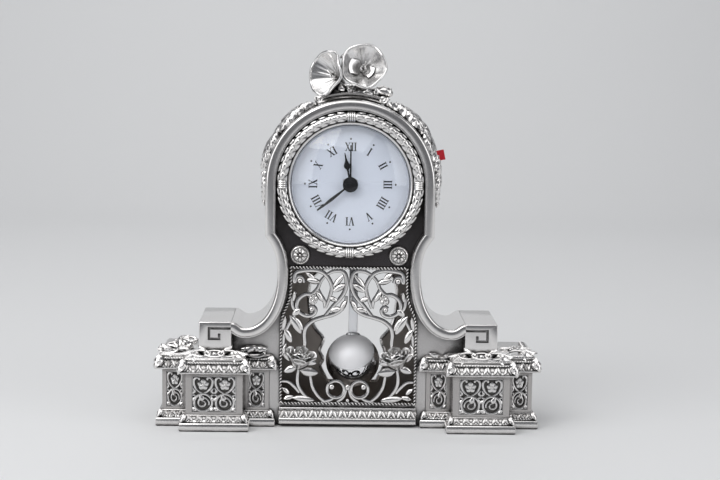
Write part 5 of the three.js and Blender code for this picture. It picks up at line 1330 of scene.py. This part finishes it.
def rose(name):
    """A rose on its hip, upright along Z, with sepals below."""
    rows = [(8.2, 14.2, 42, 1.7, 6, 0), (6.0, 14.8, 46, 1.2, 5, 25), (3.9, 15.2, 52, 0.8, 4, 10),
            (1.9, 15.6, 62, 0.4, 3, 40)]
    petals = []
    for radius, height, angle, lip, count, start in rows:
        petals.append(spread("row", petal_sheet("petal", radius, height, angle, lip),
                             [turn(start + 360 * n / count, "Z") for n in range(count)]))
    heart = ball("heart", 6.6, (0, 0, 7.6), stretch=(1, 1, 0.8), rings=10)
    hip = ball("hip", 2.4, (0, 0, 0.4), stretch=(1, 1, 1.2), rings=6)
    sepals = spread("sepals", leaf("sepal", 6.4, 3.0, 0.6, curl=-1.0, wall=0.4, cells=(4, 5)),
                    [turn(90 * n + 20, "Z") @ at(0, -1.9, 0.2) @ turn(28, "X") for n in range(4)])
    return joined(name, [*petals, heart, hip, sepals])


ROSE_FOOT = (31.4, FRET_PLANE - 0.2, 37.6)
right_rose = rose("rose_right")
right_rose.data.transform(at(*ROSE_FOOT) @ turn(-13) @ turn(36, "X") @ Matrix.Diagonal((1.0, 0.6, 1.0, 1)))
left_rose = twinned(right_rose, "rose_left")
roses = joined("roses", [right_rose, left_rose])
scrollwork = with_flank_shade(joined("scrollwork", [scrollwork, fret_leaves]))
placed(scrollwork, "case", FINISHES["pierced_silver"], ["fretwork_panel"])
placed(roses, "case", FINISHES["petal"])

# %% [markdown]
# Under the window lies the frieze, a rail with a plain foot and a leaf band that leans back, and a thin
# ledge above.

# %% Frieze
frieze_low, frieze_high = span("frieze_rail")
HALF, RAIL_FRONT, RAIL_FOOT, RAIL_TOP = frieze_high.x, frieze_low.y, frieze_low.z, frieze_high.z
profile = [(PLATE_FRONT, RAIL_FOOT), (RAIL_FRONT + 0.5, RAIL_FOOT), (RAIL_FRONT, RAIL_FOOT + 0.5),
           (RAIL_FRONT, RAIL_FOOT + 3.2), (RAIL_FRONT + 0.4, RAIL_FOOT + 3.8),
           (RAIL_FRONT + 0.9, RAIL_FOOT + 4.0), (RAIL_FRONT + 2.3, RAIL_TOP - 0.6),
           (RAIL_FRONT + 2.0, RAIL_TOP - 0.3), (RAIL_FRONT + 2.1, RAIL_TOP + 0.5),
           (RAIL_FRONT + 2.8, RAIL_TOP + 0.9), (PLATE_FRONT, RAIL_TOP + 0.9)]
rail = loft("rail", [[(x, y, z) for y, z in profile] for x in (-HALF, HALF)], around=True, caps=True)
rounded(rail, 0.2)
lean = Vector((0, 1.4, RAIL_TOP - RAIL_FOOT - 4.6))
COUNT = 14
PITCH = 2 * HALF / COUNT
units = []
for n in range(COUNT):
    start = Vector((-HALF + PITCH * (n + 0.5), RAIL_FRONT + 2.1, RAIL_TOP - 0.9))
    units.append(facing(start, (0, -lean.z, lean.y), -lean))
leaf_band = spread("frieze_leaves", chevron("unit", 4.9, PITCH), units)
silvered(rail, "frieze_rail")
silvered(leaf_band)

# %% [markdown]
# The pendulum is a satin strip that ends in a chromed ball with a blasted satin cap. The bare chrome below
# the cap mirrors the scrollwork and the room, so the ball needs an even, fine mesh.

# %% Pendulum
rod_low, rod_high = span("pendulum_rod")
bob_low, bob_high = span("pendulum_bob")
bob_middle = (bob_low + bob_high) / 2
BOB = 17.2
STRIP_HALF, STRIP = 2.8, 0.6
rod = box_at("rod", (bob_middle.x - STRIP_HALF, bob_middle.y - STRIP, rod_low.z),
             (bob_middle.x + STRIP_HALF, bob_middle.y + STRIP, rod_high.z - 4.0))
rounded(rod, 0.35, segments=3)
HUB_LEVEL = rod_high.z - 4.0
hub = spun("hub", [(1.35, -1.5), (3.7, -1.5), (4.0, -1.2), (4.0, 1.2), (3.7, 1.5), (1.35, 1.5)], 32,
           (bob_middle.x, bob_middle.y, HUB_LEVEL))
placed(joined("pendulum_strip", [rod, hub]), "pendulum", FINISHES["rod_metal"], ["pendulum_rod"])
bob = ball("bob", BOB, tuple(bob_middle), rings=40)
collar = spun("collar", [(0.1, 0.0), (4.6, 0.0), (4.3, 1.0), (3.4, 1.5), (0.1, 1.7)], 32)
collar.data.transform(at(bob_middle.x, bob_middle.y, bob_middle.z + BOB - 0.6) @ turn(90, "X")
                      @ Matrix.Diagonal((1, 1, 0.5, 1)))
SATIN_AIM = Vector((-0.1, -0.66, 0.75)).normalized()
SATIN_EDGE = (0.48, 0.59)
CHROME_ROUGH, SATIN_ROUGH, SATIN_METALLIC = 0.06, 0.46, 0.15


def capped_satin(name, bright, middle, radius):
    """Chrome with a blasted satin cap that looks up and forward, its edge a range of cosines off the aim."""
    finish = metal(name, bright, CHROME_ROUGH, depth=0.3)
    tree, shader = shader_of(finish)
    spot = node(tree, "ShaderNodeTexCoord").outputs["Object"]
    offset = node(tree, "ShaderNodeVectorMath", [(0, spot)], operation="SUBTRACT")
    offset.inputs[1].default_value = middle * MM
    cosine = node(tree, "ShaderNodeVectorMath", [(0, offset.outputs[0])], operation="DOT_PRODUCT")
    cosine.inputs[1].default_value = SATIN_AIM / (radius * MM)
    for socket, bare, satin in (("Roughness", CHROME_ROUGH, SATIN_ROUGH), ("Metallic", 1.0, SATIN_METALLIC)):
        value = ranged(tree, cosine.outputs["Value"], *SATIN_EDGE, bare, satin,
                       interpolation_type="SMOOTHSTEP")
        tree.links.new(value, shader.inputs[socket])
    return finish


placed(bob, "pendulum", capped_satin("bob_chrome", (0.93, 0.93, 0.95), bob_middle, BOB),
       ["pendulum_bob"])
placed(collar, "pendulum", FINISHES["rod_metal"])

# %% [markdown]
# The crest is two open blossoms on a small mount. A blossom is a shallow funnel: rings of points grow from
# the throat to the rim, pleats run down into the throat, and the rim waves and rolls back.

# %% Blossoms
BLOSSOM_WALL = 0.9


def ripple(a):
    """The five waves of a blossom's rim."""
    return math.cos(5 * a + 0.6)


def bowl(name, radius, depth, pleats):
    """An open flower that looks to the front, its rim in the plane of Y zero."""
    rows = []
    for v in [step / 16 for step in range(17)] + [1.03]:
        row = []
        for i in range(128):
            a = math.tau * i / 128
            r = radius * v**0.9 * (1 + 0.035 * v**2 * ripple(a))
            y = depth * (1 - min(1, v) ** 1.7) + 0.8 * v**3 * ripple(a)
            pleat = pleats * v * (1.05 - min(1, v)) * (math.cos(13 * a) + 0.6 * math.cos(29 * a + 1))
            row.append((r * math.cos(a), y + pleat + 20 * max(0, v - 1), r * math.sin(a)))
        rows.append(row)
    return walled(loft(name, rows, around=True), BLOSSOM_WALL)


def rim_of(radius):
    """The wavy rim of a bowl."""
    rim = []
    for i in range(64):
        a = math.tau * i / 64
        r = radius * (1.01 + 0.035 * ripple(a))
        rim.append((r * math.cos(a), 0.3 + 0.8 * ripple(a), r * math.sin(a)))
    return rim


def blossom(name, middle, look, radius, depth, pleats, inner):
    """A bowl with inner petals, pistil and stamens, its stalk led down to the mount."""
    look = Vector(look).normalized()
    throat = Vector(middle) - depth * look
    cup = bowl("cup", radius, depth, pleats)
    cup.data.transform(facing(middle, look, (0, 0, 1)))
    rim = [facing(middle, look, (0, 0, 1)) @ Vector(point) for point in rim_of(radius)]
    parts = [cup, wires("rim", [rim], 1.8, closed=True)]
    for side, size, height in inner:
        fold = petal_sheet("fold", size, height, 62, 0.8)
        fold.data.transform(facing(throat + 0.8 * look, side, look))
        parts.append(fold)
    pistil = [throat, throat + depth * 0.5 * look + Vector((0.2, 0, 0.6)),
              throat + depth * look + Vector((1.2, 0, 2.4))]
    parts.append(wires("pistil", [through(pistil, 4)], 1.3, ends=(1, 0.6)))
    for n in range(4):
        tip = throat + 3.6 * look + Vector((1.5 * math.cos(1.9 * n + 4), 0, 1.6 * math.sin(1.9 * n + 4)))
        parts.append(ball("stamen", 0.75, tuple(tip), rings=5))
    stalk = [throat + 1.2 * look, throat - 3 * look + Vector((0, 0, -2)),
             Vector((0.3 * throat.x, 3, CREST_FOOT + 3))]
    parts.append(wires("stalk", [through(stalk, 5)], 4.2, ends=(1.2, 0.9)))
    return joined(name, parts)


mount_low, mount_high = span("crest_mount")
CREST_FOOT = DIAL_LEVEL + HOOD_RADIUS
RIGHT_MIDDLE = (7.4, -8.4, CREST_FOOT + 20.6)
LEFT_MIDDLE = (-16.6, -6.2, CREST_FOOT + 15.6)
right_bloom = blossom("bloom_right", RIGHT_MIDDLE, (0.06, -0.95, 0.28), 13.4, 8.6, 0.3,
                      [((-1, 0, 0.1), 8.2, 5.0), ((0.9, 0, -0.55), 6.0, 4.4)])
left_bloom = blossom("bloom_left", LEFT_MIDDLE, (-0.74, -0.64, 0.2), 13.6, 10.5, 0.9, [])
placed(right_bloom, "case", FINISHES["bloom"], ["blossom_right"], angle=70)
placed(left_bloom, "case", FINISHES["bloom"], ["blossom_left"], angle=70)

# %% [markdown]
# The mount is an arched band that rides on the hood, with two grooves along its front and a scroll at each
# end. Buds, a pod and leaves fill the room between the band and the blossoms.

# %% Mount of the crest
BAND_REACH = 20.5
front, back = mount_low.y, mount_high.y
groove = [(52.0, front), (53.4, front - 0.8), (54.1, front), (54.7, front + 0.6), (55.3, front - 0.3),
          (56.4, front - 0.5), (57.0, front + 0.4), (57.0, back - 0.6), (52.0, back)]
rows = []
for step in range(25):
    a = math.radians(-BAND_REACH + 2 * BAND_REACH * step / 24)
    rows.append([(r * math.sin(a), y, DIAL_LEVEL + r * math.cos(a)) for r, y in groove])
crest_band = loft("crest_band", rows, around=True, caps=True)
mound = ball("mound", 11.0, (-0.5, 3, CREST_FOOT + 3), stretch=(1.45, 0.75, 0.6), rings=14)
curls = []
for side in (-1, 1):
    x, z = 19.8 * side, DIAL_LEVEL + 52.2
    curl = wires("curl", [spiral(x, z, 2.7, 0.6, 90 - 60 * side, -side * 460)], 1.7, ends=(1, 0.7))
    curls.append(moved(curl, y=front + 0.4))
BUDS = [((-4.9, -2.0, CREST_FOOT + 25.4), 2.3, 30), ((15.4, -5.0, CREST_FOOT + 4.4), 2.8, 60),
        ((-6.0, -6.0, CREST_FOOT + 6.4), 2.7, -20), ((-1.2, -6.4, CREST_FOOT + 5.6), 2.3, 35),
        ((8.0, 6.0, CREST_FOOT + 8.0), 4.0, 20), ((-12.0, 7.0, CREST_FOOT + 6.0), 4.0, -40)]
buds = []
for place, size, lean in BUDS:
    heart = ball("bud", size * 0.8, (0, 0, size * 0.4), stretch=(0.85, 0.85, 1.35), rings=8)
    wrap_leaf = leaf("wrap_leaf", size * 1.9, size * 1.7, size * 0.35, curl=-size * 0.5, wall=0.5,
                     cells=(6, 6))
    wrap = spread("wrap", wrap_leaf,
                  [turn(120 * n + 15, "Z") @ at(0, -size * 0.62, -size * 0.7) for n in range(3)])
    bud = joined("bud", [heart, wrap])
    bud.data.transform(at(*place) @ turn(lean))
    buds.append(bud)
lip = [(3.1 * math.cos(a), 3.1 * math.sin(a), 3.4) for a in [math.tau * k / 24 for k in range(24)]]
pod = joined("pod", [ball("pod", 3.6, (0, 0, 0), stretch=(1, 1, 1.6), rings=12),
                     wires("lip", [lip], 1.2, closed=True)])
pod.data.transform(at(20.4, -4.2, CREST_FOOT + 4.6) @ turn(108))
buds.append(pod)
MOUNT_LEAVES = [(-15, -3.5, 285, 11), (-9, -7.5, 312, 9), (-3, -7.8, 20, 8), (4, -8, 60, 8),
                (10, -7.5, 80, 9), (15, -5, 96, 11), (18, 3, 104, 12), (-16, 5, 262, 12),
                (-5, 11, 320, 11), (6, 11, 40, 11)]
sprays = []
for x, y, angle, length in MOUNT_LEAVES:
    spray = leaf("spray", length, length * 0.5, 1.4, curl=1.4, teeth=3, wall=0.6, cells=(6, 9))
    out = -0.6 if y < 6 else 0.6
    run = Vector((math.sin(math.radians(angle)), 0.25 * out, 0.55 + 0.4 * math.cos(math.radians(angle))))
    spray.data.transform(facing((0.72 * x, y, CREST_FOOT + 3.6 - x * x / 90), (0.02 * x, out, 0.8), run))
    sprays.append(spray)
mount = joined("crest_mount_cast", [crest_band, mound, *curls, *buds, *sprays])
silvered(mount, "crest_mount")

# %% [markdown]
# A garland of leaves hangs down each side of the hood. Leaves of three rows overlap along the arch and sink
# towards it beside the dial. The right garland swells into two heaps, and the left one lies closer, so each
# side has its own beat.

# %% Garlands
GARLAND_ARC, GARLAND_STEPS, LEVEL_PART = (25.0, 104.0), 14, 0.4


def on_hood(angle, proud, y):
    """Place on the hood at an angle from the top, with the directions out of the hood and down along it."""
    a = math.radians(angle)
    out = Vector((math.sin(a), 0, math.cos(a)))
    down = Vector((math.cos(a), 0, -math.sin(a)))
    return Vector((0, y, DIAL_LEVEL)) + (HOOD_RADIUS + proud) * out, out, down


def garland(name, beats, swell, sink):
    """Leaves down the right side of the hood. Beats and a swell shape the outline, and past its level part
    the garland sinks towards the hood."""
    parts = []
    first, last = GARLAND_ARC
    for n in range(GARLAND_STEPS):
        t = n / (GARLAND_STEPS - 1)
        lower = max(0, t - LEVEL_PART) / (1 - LEVEL_PART)
        lift = 0.9 + swell * abs(math.sin(math.pi * beats * t + 0.5)) * (1 - 0.5 * t) - sink * lower
        for row, y in enumerate((-12.4, -2.5, 7.5)):
            angle = first + (last - first) * t + 2.4 * row
            place, out, down = on_hood(angle, lift * (0.8 + 0.2 * row), y + 1.2 * math.sin(2.3 * n + row))
            sway = Vector((0, 0.3 * math.cos(1.7 * n + 2.1 * row), 0))
            face = out + Vector((0, -0.9 if row == 0 else 0.15, 0)) - 0.1 * down
            size = 13.5 - 1.5 * t - 2.0 * lower + (2.5 - lower) * math.sin(1.3 * n + row)
            blade = leaf("blade", size, 0.55 * size, 2.2 - 0.8 * lower, curl=-1.2, teeth=4, wall=0.7,
                         cells=(8, 16), broad=0.85)
            blade.data.transform(facing(place, face, down + sway + (0.1 - 0.22 * t) * out))
            parts.append(blade)
    for n in range(9):
        lift = 1.4 + 0.5 * swell * abs(math.sin(2.2 * n))
        place = on_hood(first + 4 + 9.2 * n, lift, -11.2 + (n % 2))[0]
        parts.append(ball("berry", 1.5, tuple(place), rings=6))
    stems = []
    for y in (-6.0, 4.0):
        stems.append([on_hood(first - 2 + (last - first + 6) * k / 24, 0.8 + 0.5 * math.sin(k), y)[0]
                      for k in range(25)])
    parts.append(wires("stems", stems, 3.0, ends=(0.6, 0.5)))
    return joined(name, parts)


right_garland = garland("garland_leaves_right", 2.0, 3.4, 1.0)
left_garland = garland("left_model", 3.0, 1.7, 2.2)
mirrored = twinned(left_garland, "garland_leaves_left")
bpy.data.objects.remove(left_garland)
silvered(right_garland, "garland_right")
silvered(mirrored, "garland_left")

# %% [markdown]
# Cast ornament lies on the roofs of the pedestals: interlaced oval rings with leaves between them along the
# front, and leaves at the corners. On the left a bow leans on the plate and curls are heaped on the outer
# step. On the right lie low leaves, a flower and a leafy edge. A ring is a closed wire, tipped towards the
# viewer.

# %% Ornament on the roofs
ROOF = cap_high.z
FRONT_ROOF_Y = FRONT + 4.0


def hoop(place, wide, deep, thick, tip, spin=0.0):
    """An oval ring at a place, tipped back by an angle."""
    angles = [math.tau * k / 32 for k in range(32)]
    route = [Vector((wide * math.cos(a), 0, deep * math.sin(a))) for a in angles]
    made = wires("hoop", [route], thick, closed=True)
    made.data.transform(at(*place) @ turn(spin, "Z") @ turn(-tip, "X"))
    return made


def sprig_at(place, length, angle, tip, face=(0, -1, 0.9)):
    """A leaf on the roof at an angle from straight back."""
    a = math.radians(angle)
    run = Vector((math.sin(a), math.cos(a), math.tan(math.radians(tip))))
    made = leaf("roof_leaf", length, 0.55 * length, 1.3, curl=0.8, teeth=3, wall=0.6, cells=(6, 9))
    made.data.transform(facing(place, face, run))
    return made


FRONT_SPRIGS = [(1.2, -1.6, 0.6, 6.2, 58, 24), (8.0, -0.6, 0.4, 7.0, 96, 8), (4.4, 1.8, 1.8, 8.0, 64, 30),
                (3.6, -3.0, 0.2, 5.4, 118, 10)]


def front_ornament(x, y):
    """Three interlaced rings along a front edge, with leaves at the middle and the ends."""
    parts = [hoop((x + step * 8.2, y - 1.4 + 0.5 * abs(step), ROOF + 1.9), 5.9, 2.8, 1.5, 58, 6 * step)
             for step in (-1, 0, 1)]
    for out, back, rise, length, angle, tip in FRONT_SPRIGS:
        parts += [sprig_at((x + out * side, y + back, ROOF + rise), length, angle * side, tip)
                  for side in (-1, 1)]
    parts.append(ball("knop", 1.8, (x, y - 1.8, ROOF + 1.5), stretch=(1, 0.8, 0.9), rings=7))
    return parts


def step_ornament(x, y):
    """A bow that leans on the plate above the inner step: two rings and two leaves that fall to the sides."""
    parts = [hoop((x, y, ROOF + 1.9), 6.8, 2.8, 1.6, 16),
             hoop((x - 1.2, y - 1.2, ROOF + 0.5), 5.4, 2.2, 1.4, 34)]
    parts += [sprig_at((x - 0.6 * side, y - 0.5, ROOF + 3.9), 9.0, 88 * side, -12) for side in (-1, 1)]
    return parts


def corner_sprays():
    """Leaves that lie on the roof and point to its outward corners."""
    parts = []
    for k, turned in ((5, -1), (6, 1), (8, 1)):
        x, y = plan(0)[k]
        start = (x - 7 * turned, y + 7, ROOF + 2.6)
        parts += [sprig_at(start, 11.0, turned * (90 + lean), -8, (0, -0.6, 1)) for lean in (18, 48, 78)]
    return parts


INNER_STEP = (INNER + MIDDLE_X - FRONT_HALF) / 2
OUTER_STEP = (OUTER + MIDDLE_X + FRONT_HALF) / 2
STEP_Y = WIDE + 2.4
LEANING = (INNER_STEP + 1.5, PLATE_FRONT - 1.8)
right_parts = front_ornament(MIDDLE_X, FRONT_ROOF_Y) + corner_sprays()
right_parts += [sprig_at((LEANING[0] + 1.5 * side, LEANING[1] - 1.0, ROOF), 6.4, 84 * side, 12)
                for side in (-1, 1)]
left_parts = front_ornament(MIDDLE_X, FRONT_ROOF_Y) + step_ornament(*LEANING) + corner_sprays()

bloom = flower("roof_bloom", 4.6, 6, 0.8)
bloom.data.transform(facing((OUTER_STEP - 1, 6.0, ROOF + 0.8), (0, -0.25, 1), (0, 1, 0.25)))
right_parts.append(bloom)
right_parts += [sprig_at((OUTER_STEP - 1 + 3.5 * side, 6.0, ROOF + 0.2), 6.5, 90 * side, 6, (0, -0.3, 1))
                for side in (-1, 1)]
edge_leaf = leaf("edge_leaf", 4.2, 3.2, 0.8, curl=0.3, teeth=2, wall=0.5, cells=(6, 6))
edge_places = [facing((OUTER - 3.4, WIDE + 4 + 3.6 * n, ROOF + 0.2), (0.3, 0, 1), (1, 0.25, -0.2))
               for n in range(13)]
right_parts.append(spread("edge_leaves", edge_leaf, edge_places))
right_parts.append(hoop((OUTER_STEP - 2, STEP_Y, ROOF + 1.2), 5.4, 2.5, 1.4, 55))

for n in range(7):
    level, back = n % 3, n // 3
    x = OUTER_STEP + 4.5 - 4.4 * level - 3.0 * back
    y = STEP_Y + 1.0 + 8.5 * back + 1.8 * level
    z = ROOF + 1.6 + 1.7 * level
    left_parts.append(hoop((x, y, z), 6.2 - 0.6 * level, 3.0, 1.8, 48, 18 - 14 * level))
for n in range(3):
    start = (OUTER_STEP + 2 - 4 * n, STEP_Y - 1.4 + 3.0 * n, ROOF + 0.8 + 1.7 * n)
    left_parts.append(sprig_at(start, 8.5, 62 - 70 * n, 22))
for n in range(4):
    start = (OUTER_STEP - 7.5, STEP_Y + 15.0, ROOF + 7.6 - n)
    left_parts.append(sprig_at(start, 19.0, 112 + 18 * n, -16, (0.4, -0.7, 0.9)))
left_parts.append(ball("core", 4.4, (OUTER_STEP - 4, STEP_Y + 8, ROOF + 1.0), stretch=(1.6, 1.9, 0.9),
                       rings=10))

right_roof = joined("roof_ornament_right", right_parts)
left_model = joined("left_roof_model", left_parts)
left_roof = twinned(left_model, "roof_ornament_left")
bpy.data.objects.remove(left_model)
for piece in (right_roof, left_roof):
    silvered(piece)

# %% [markdown]
# The back is closed by a plain panel with two openings: a rectangle for the movement and a wavy window
# behind the pendulum, whose edge is rolled. A flat curve fills the room between its closed lines, so the
# panel is one curve of three lines, given a thickness and a small round on its edges, and then made a mesh.

# %% Back panel
panel_low, panel_high = span("back_panel")
tray_low, tray_high = span("battery_tray")
SERVICE_HALF, SERVICE_FOOT, SERVICE_HEAD = 32.0, DIAL_LEVEL - 20, DIAL_LEVEL + 19
HOLE_HALF, HOLE_FOOT, HOLE_RISE = 19.0, 20.0, 76.0
EDGE = [(0.85, 0), (1.09, 0.12), (1, 0.185), (1.12, 0.26), (1, 0.36), (1.3, 0.46), (1.46, 0.58), (1.5, 0.8),
        (1.25, 0.93), (0.6, 1)]
PANEL_ROUND = 0.3


def pierced(name, outlines, front, back):
    """A plate between two planes of Y, with an outline of X and Z and lines of holes inside it."""
    fresh()
    bpy.ops.curve.primitive_nurbs_path_add()
    curve = bpy.context.object.data
    curve.splines.clear()
    curve.dimensions = "2D"
    curve.fill_mode = "BOTH"
    for outline in outlines:
        spline = curve.splines.new("POLY")
        spline.points.add(len(outline) - 1)
        spline.use_cyclic_u = True
        for point, (x, z) in zip(spline.points, outline):
            point.co = (x, z, 0, 1)
    curve.extrude = (back - front) / 2 - PANEL_ROUND
    curve.bevel_depth = PANEL_ROUND
    curve.bevel_resolution = 1
    curve.offset = -PANEL_ROUND
    bpy.ops.object.convert(target="MESH")
    plate = bpy.context.object
    plate.name = name
    plate.data.transform(at(0, (front + back) / 2, 0) @ turn(90, "X"))
    with editing(plate):
        bpy.ops.mesh.remove_doubles(threshold=TIE)
        bpy.ops.mesh.normals_make_consistent(inside=False)
    return plate


route = case_side(16)
inside = [(x + 2.5 * normal.x, z + 2.5 * normal.y) for (x, z), normal in zip(route, inward(route))]
FOOT_EDGE = span("base_plate")[1].x
half = [(FOOT_EDGE, panel_low.z), (FOOT_EDGE, CAP_TOP + 0.2), (panel_high.x, CAP_TOP + 0.2),
        (panel_high.x, SHOULDER_TOP - 2.6), *[(x, z) for x, z in inside if x < panel_high.x - 0.1]]
outline = [*half, *[(-x, z) for x, z in reversed(half)]]
wave = through([(w * HOLE_HALF, HOLE_FOOT + h * HOLE_RISE) for w, h in EDGE], 6)
hole = [(bob_middle.x + x, z) for x, z in wave] + [(bob_middle.x - x, z) for x, z in reversed(wave)]
SERVICE_CORNER = 3.0
across, above = SERVICE_HALF - SERVICE_CORNER, SERVICE_HEAD - SERVICE_CORNER
turns = [math.radians(15 * step) for step in range(7)]
quarter = [(across + SERVICE_CORNER * math.cos(a), above + SERVICE_CORNER * math.sin(a)) for a in turns]
lower = [(x, SERVICE_FOOT + SERVICE_HEAD - z) for x, z in reversed(quarter)]
service = [*lower, *quarter]
service += [(-x, z) for x, z in reversed(service)]
back_panel = pierced("back_cover", [outline, hole, service], panel_low.y, panel_high.y)
rolled = wires("rolled_edge", [[Vector((x, panel_low.y + 0.2, z)) for x, z in hole]], 2.4, closed=True)
frame_line = wires("service_edge", [[Vector((x, panel_high.y, z)) for x, z in service]], 1.2, closed=True)
placed(back_panel, "case", FINISHES["case_back"], ["back_panel"], angle=20)
placed(rolled, "case", FINISHES["silver"])
placed(frame_line, "case", FINISHES["case_back"])

# %% [markdown]
# Four slotted screws hold the panel. A head is turned from a profile, and a thin bar is taken away for the
# slot. Each slot stands at its own angle, because nobody lines up screws.

# %% Screws
for n, place in enumerate(("top_right", "top_left", "foot_right", "foot_left")):
    low, high = span("back_screw_" + place)
    middle, reach = (low + high) / 2, (high.x - low.x) / 2
    head = dome("screw", [(0, low.y), (1.0, low.y + 1.2), (1.1, panel_high.y), (reach, panel_high.y),
                          (reach, high.y - 0.6), (reach * 0.85, high.y - 0.2), (reach * 0.5, high.y),
                          (0, high.y)], 24)
    slot = box_at("slot", (-reach * 1.2, high.y - 0.7, -0.35), (reach * 1.2, high.y + 1, 0.35))
    slot.data.transform(turn(25 + 50 * n))
    screw = moved(without(head, slot), x=middle.x, z=middle.z)
    screw.name = "screw_" + place
    placed(screw, "case", FINISHES["steel"], ["back_screw_" + place])

# %% [markdown]
# Behind the service opening sit the battery tray with its cell, and the setting knob. The tray is a box
# with its room taken away. The cell is turned in two pieces, a jacket and bare metal ends. The knob has a
# fluted rim.

# %% Tray, cell and knob
TRAY_WALL = 1.5
tray = box_at("tray", tuple(tray_low), tuple(tray_high))
without(tray, box_at("room", (tray_low.x + TRAY_WALL, tray_low.y + TRAY_WALL, tray_low.z + TRAY_WALL),
                     (tray_high.x - TRAY_WALL, tray_high.y + 5, tray_high.z - TRAY_WALL)))
notch = box_at("notch", (tray_high.x - 4, tray_high.y - 6, tray_low.z + 4),
               (tray_high.x + 4, tray_high.y + 5, tray_high.z - 2))
rounded(without(tray, notch), 0.35, segments=2, angle=50)
placed(tray, "case", FINISHES["movement_plastic"], ["battery_tray"])

cell_low, cell_high = span("battery")
cell = (cell_low + cell_high) / 2
LONG, ROUND = cell_high.x - cell_low.x, (cell_high.z - cell_low.z) / 2
jacket = dome("jacket", [(0, 1.6), (ROUND - 0.8, 1.6), (ROUND, 2.2), (ROUND, LONG - 3.2),
                         (ROUND - 0.8, LONG - 2.6), (0, LONG - 2.6)], 48)
ends = joined("cell_ends", [
    dome("flat_end", [(0, 0), (ROUND - 2.2, 0), (ROUND - 1.2, 0.5), (ROUND - 1.2, 1.8), (0, 1.8)], 48),
    dome("nub_end", [(0, LONG - 2.8), (ROUND - 1.2, LONG - 2.8), (ROUND - 1.2, LONG - 2.0), (2.9, LONG - 1.6),
                     (2.7, LONG - 0.2), (2.3, LONG), (0, LONG)], 48)])
for piece in (jacket, ends):
    piece.data.transform(at(cell_low.x, cell.y, cell.z) @ turn(-90, "Z"))
placed(jacket, "case", FINISHES["cell_jacket"], ["battery"])
placed(ends, "case", FINISHES["steel"])

knob_low, knob_high = span("setting_knob")
KNOB = (knob_high.x - knob_low.x) / 2
KNOB_RINGS = [(0, 0, 0), (0, 2, 0), (2.6, 2, 0), (2.8, KNOB - 0.7, 0.1), (3.4, KNOB - 0.25, 0.25),
              (5.8, KNOB - 0.25, 0.25), (6.4, KNOB - 0.8, 0.1), (6.4, 3.0, 0), (6.1, 2.6, 0), (6.1, 0, 0)]
rows = []
for y, radius, flute in KNOB_RINGS:
    row = []
    for step in range(96):
        a = math.tau * step / 96
        r = radius + flute * math.cos(24 * a) if radius else 0
        row.append((r * math.cos(a), y, r * math.sin(a)))
    rows.append(row)
knob = moved(loft("knob", rows, around=True), y=knob_low.y, z=(knob_low.z + knob_high.z) / 2)
placed(knob, "setting", FINISHES["movement_plastic"], ["setting_knob"])

# %% [markdown]
# The movement shows its cover below the tray. It is a square slab with rounded corners, a raised ring round
# the knob and ribs that stiffen it.

# %% Cover of the movement
cover_low, cover_high = span("movement_cover")
COVER_HALF, COVER_CORNER = cover_high.x, 4.0
COVER_LEVEL = (cover_low.z + cover_high.z) / 2
square = []
for side in range(4):
    middle = math.radians(45 + 90 * side)
    cx = math.copysign(COVER_HALF - COVER_CORNER, math.cos(middle))
    cz = math.copysign(COVER_HALF - COVER_CORNER, math.sin(middle))
    for step in range(7):
        a = math.radians(90 * side + 15 * step)
        square.append((cx + COVER_CORNER * math.cos(a), COVER_LEVEL + cz + COVER_CORNER * math.sin(a)))
cover = rounded(slab("cover", square, cover_low.y, cover_high.y), 0.3, angle=50)
collar_ring = spun("knob_ring", [(7.2, 0), (8.4, 0), (8.2, 0.7), (7.4, 0.7)], 48,
                   (0, cover_high.y - 0.05, (knob_low.z + knob_high.z) / 2))
ribs = []
for x in (-17, 17):
    rib = box_at("rib", (x - 0.6, cover_high.y - 0.1, cover_low.z + 4),
                 (x + 0.6, cover_high.y + 0.8, tray_low.z - 2))
    ribs.append(rounded(rib, 0.2))
placed(joined("cover_with_ribs", [cover, collar_ring, *ribs]), "case",
       FINISHES["movement_plastic"], ["movement_cover"])
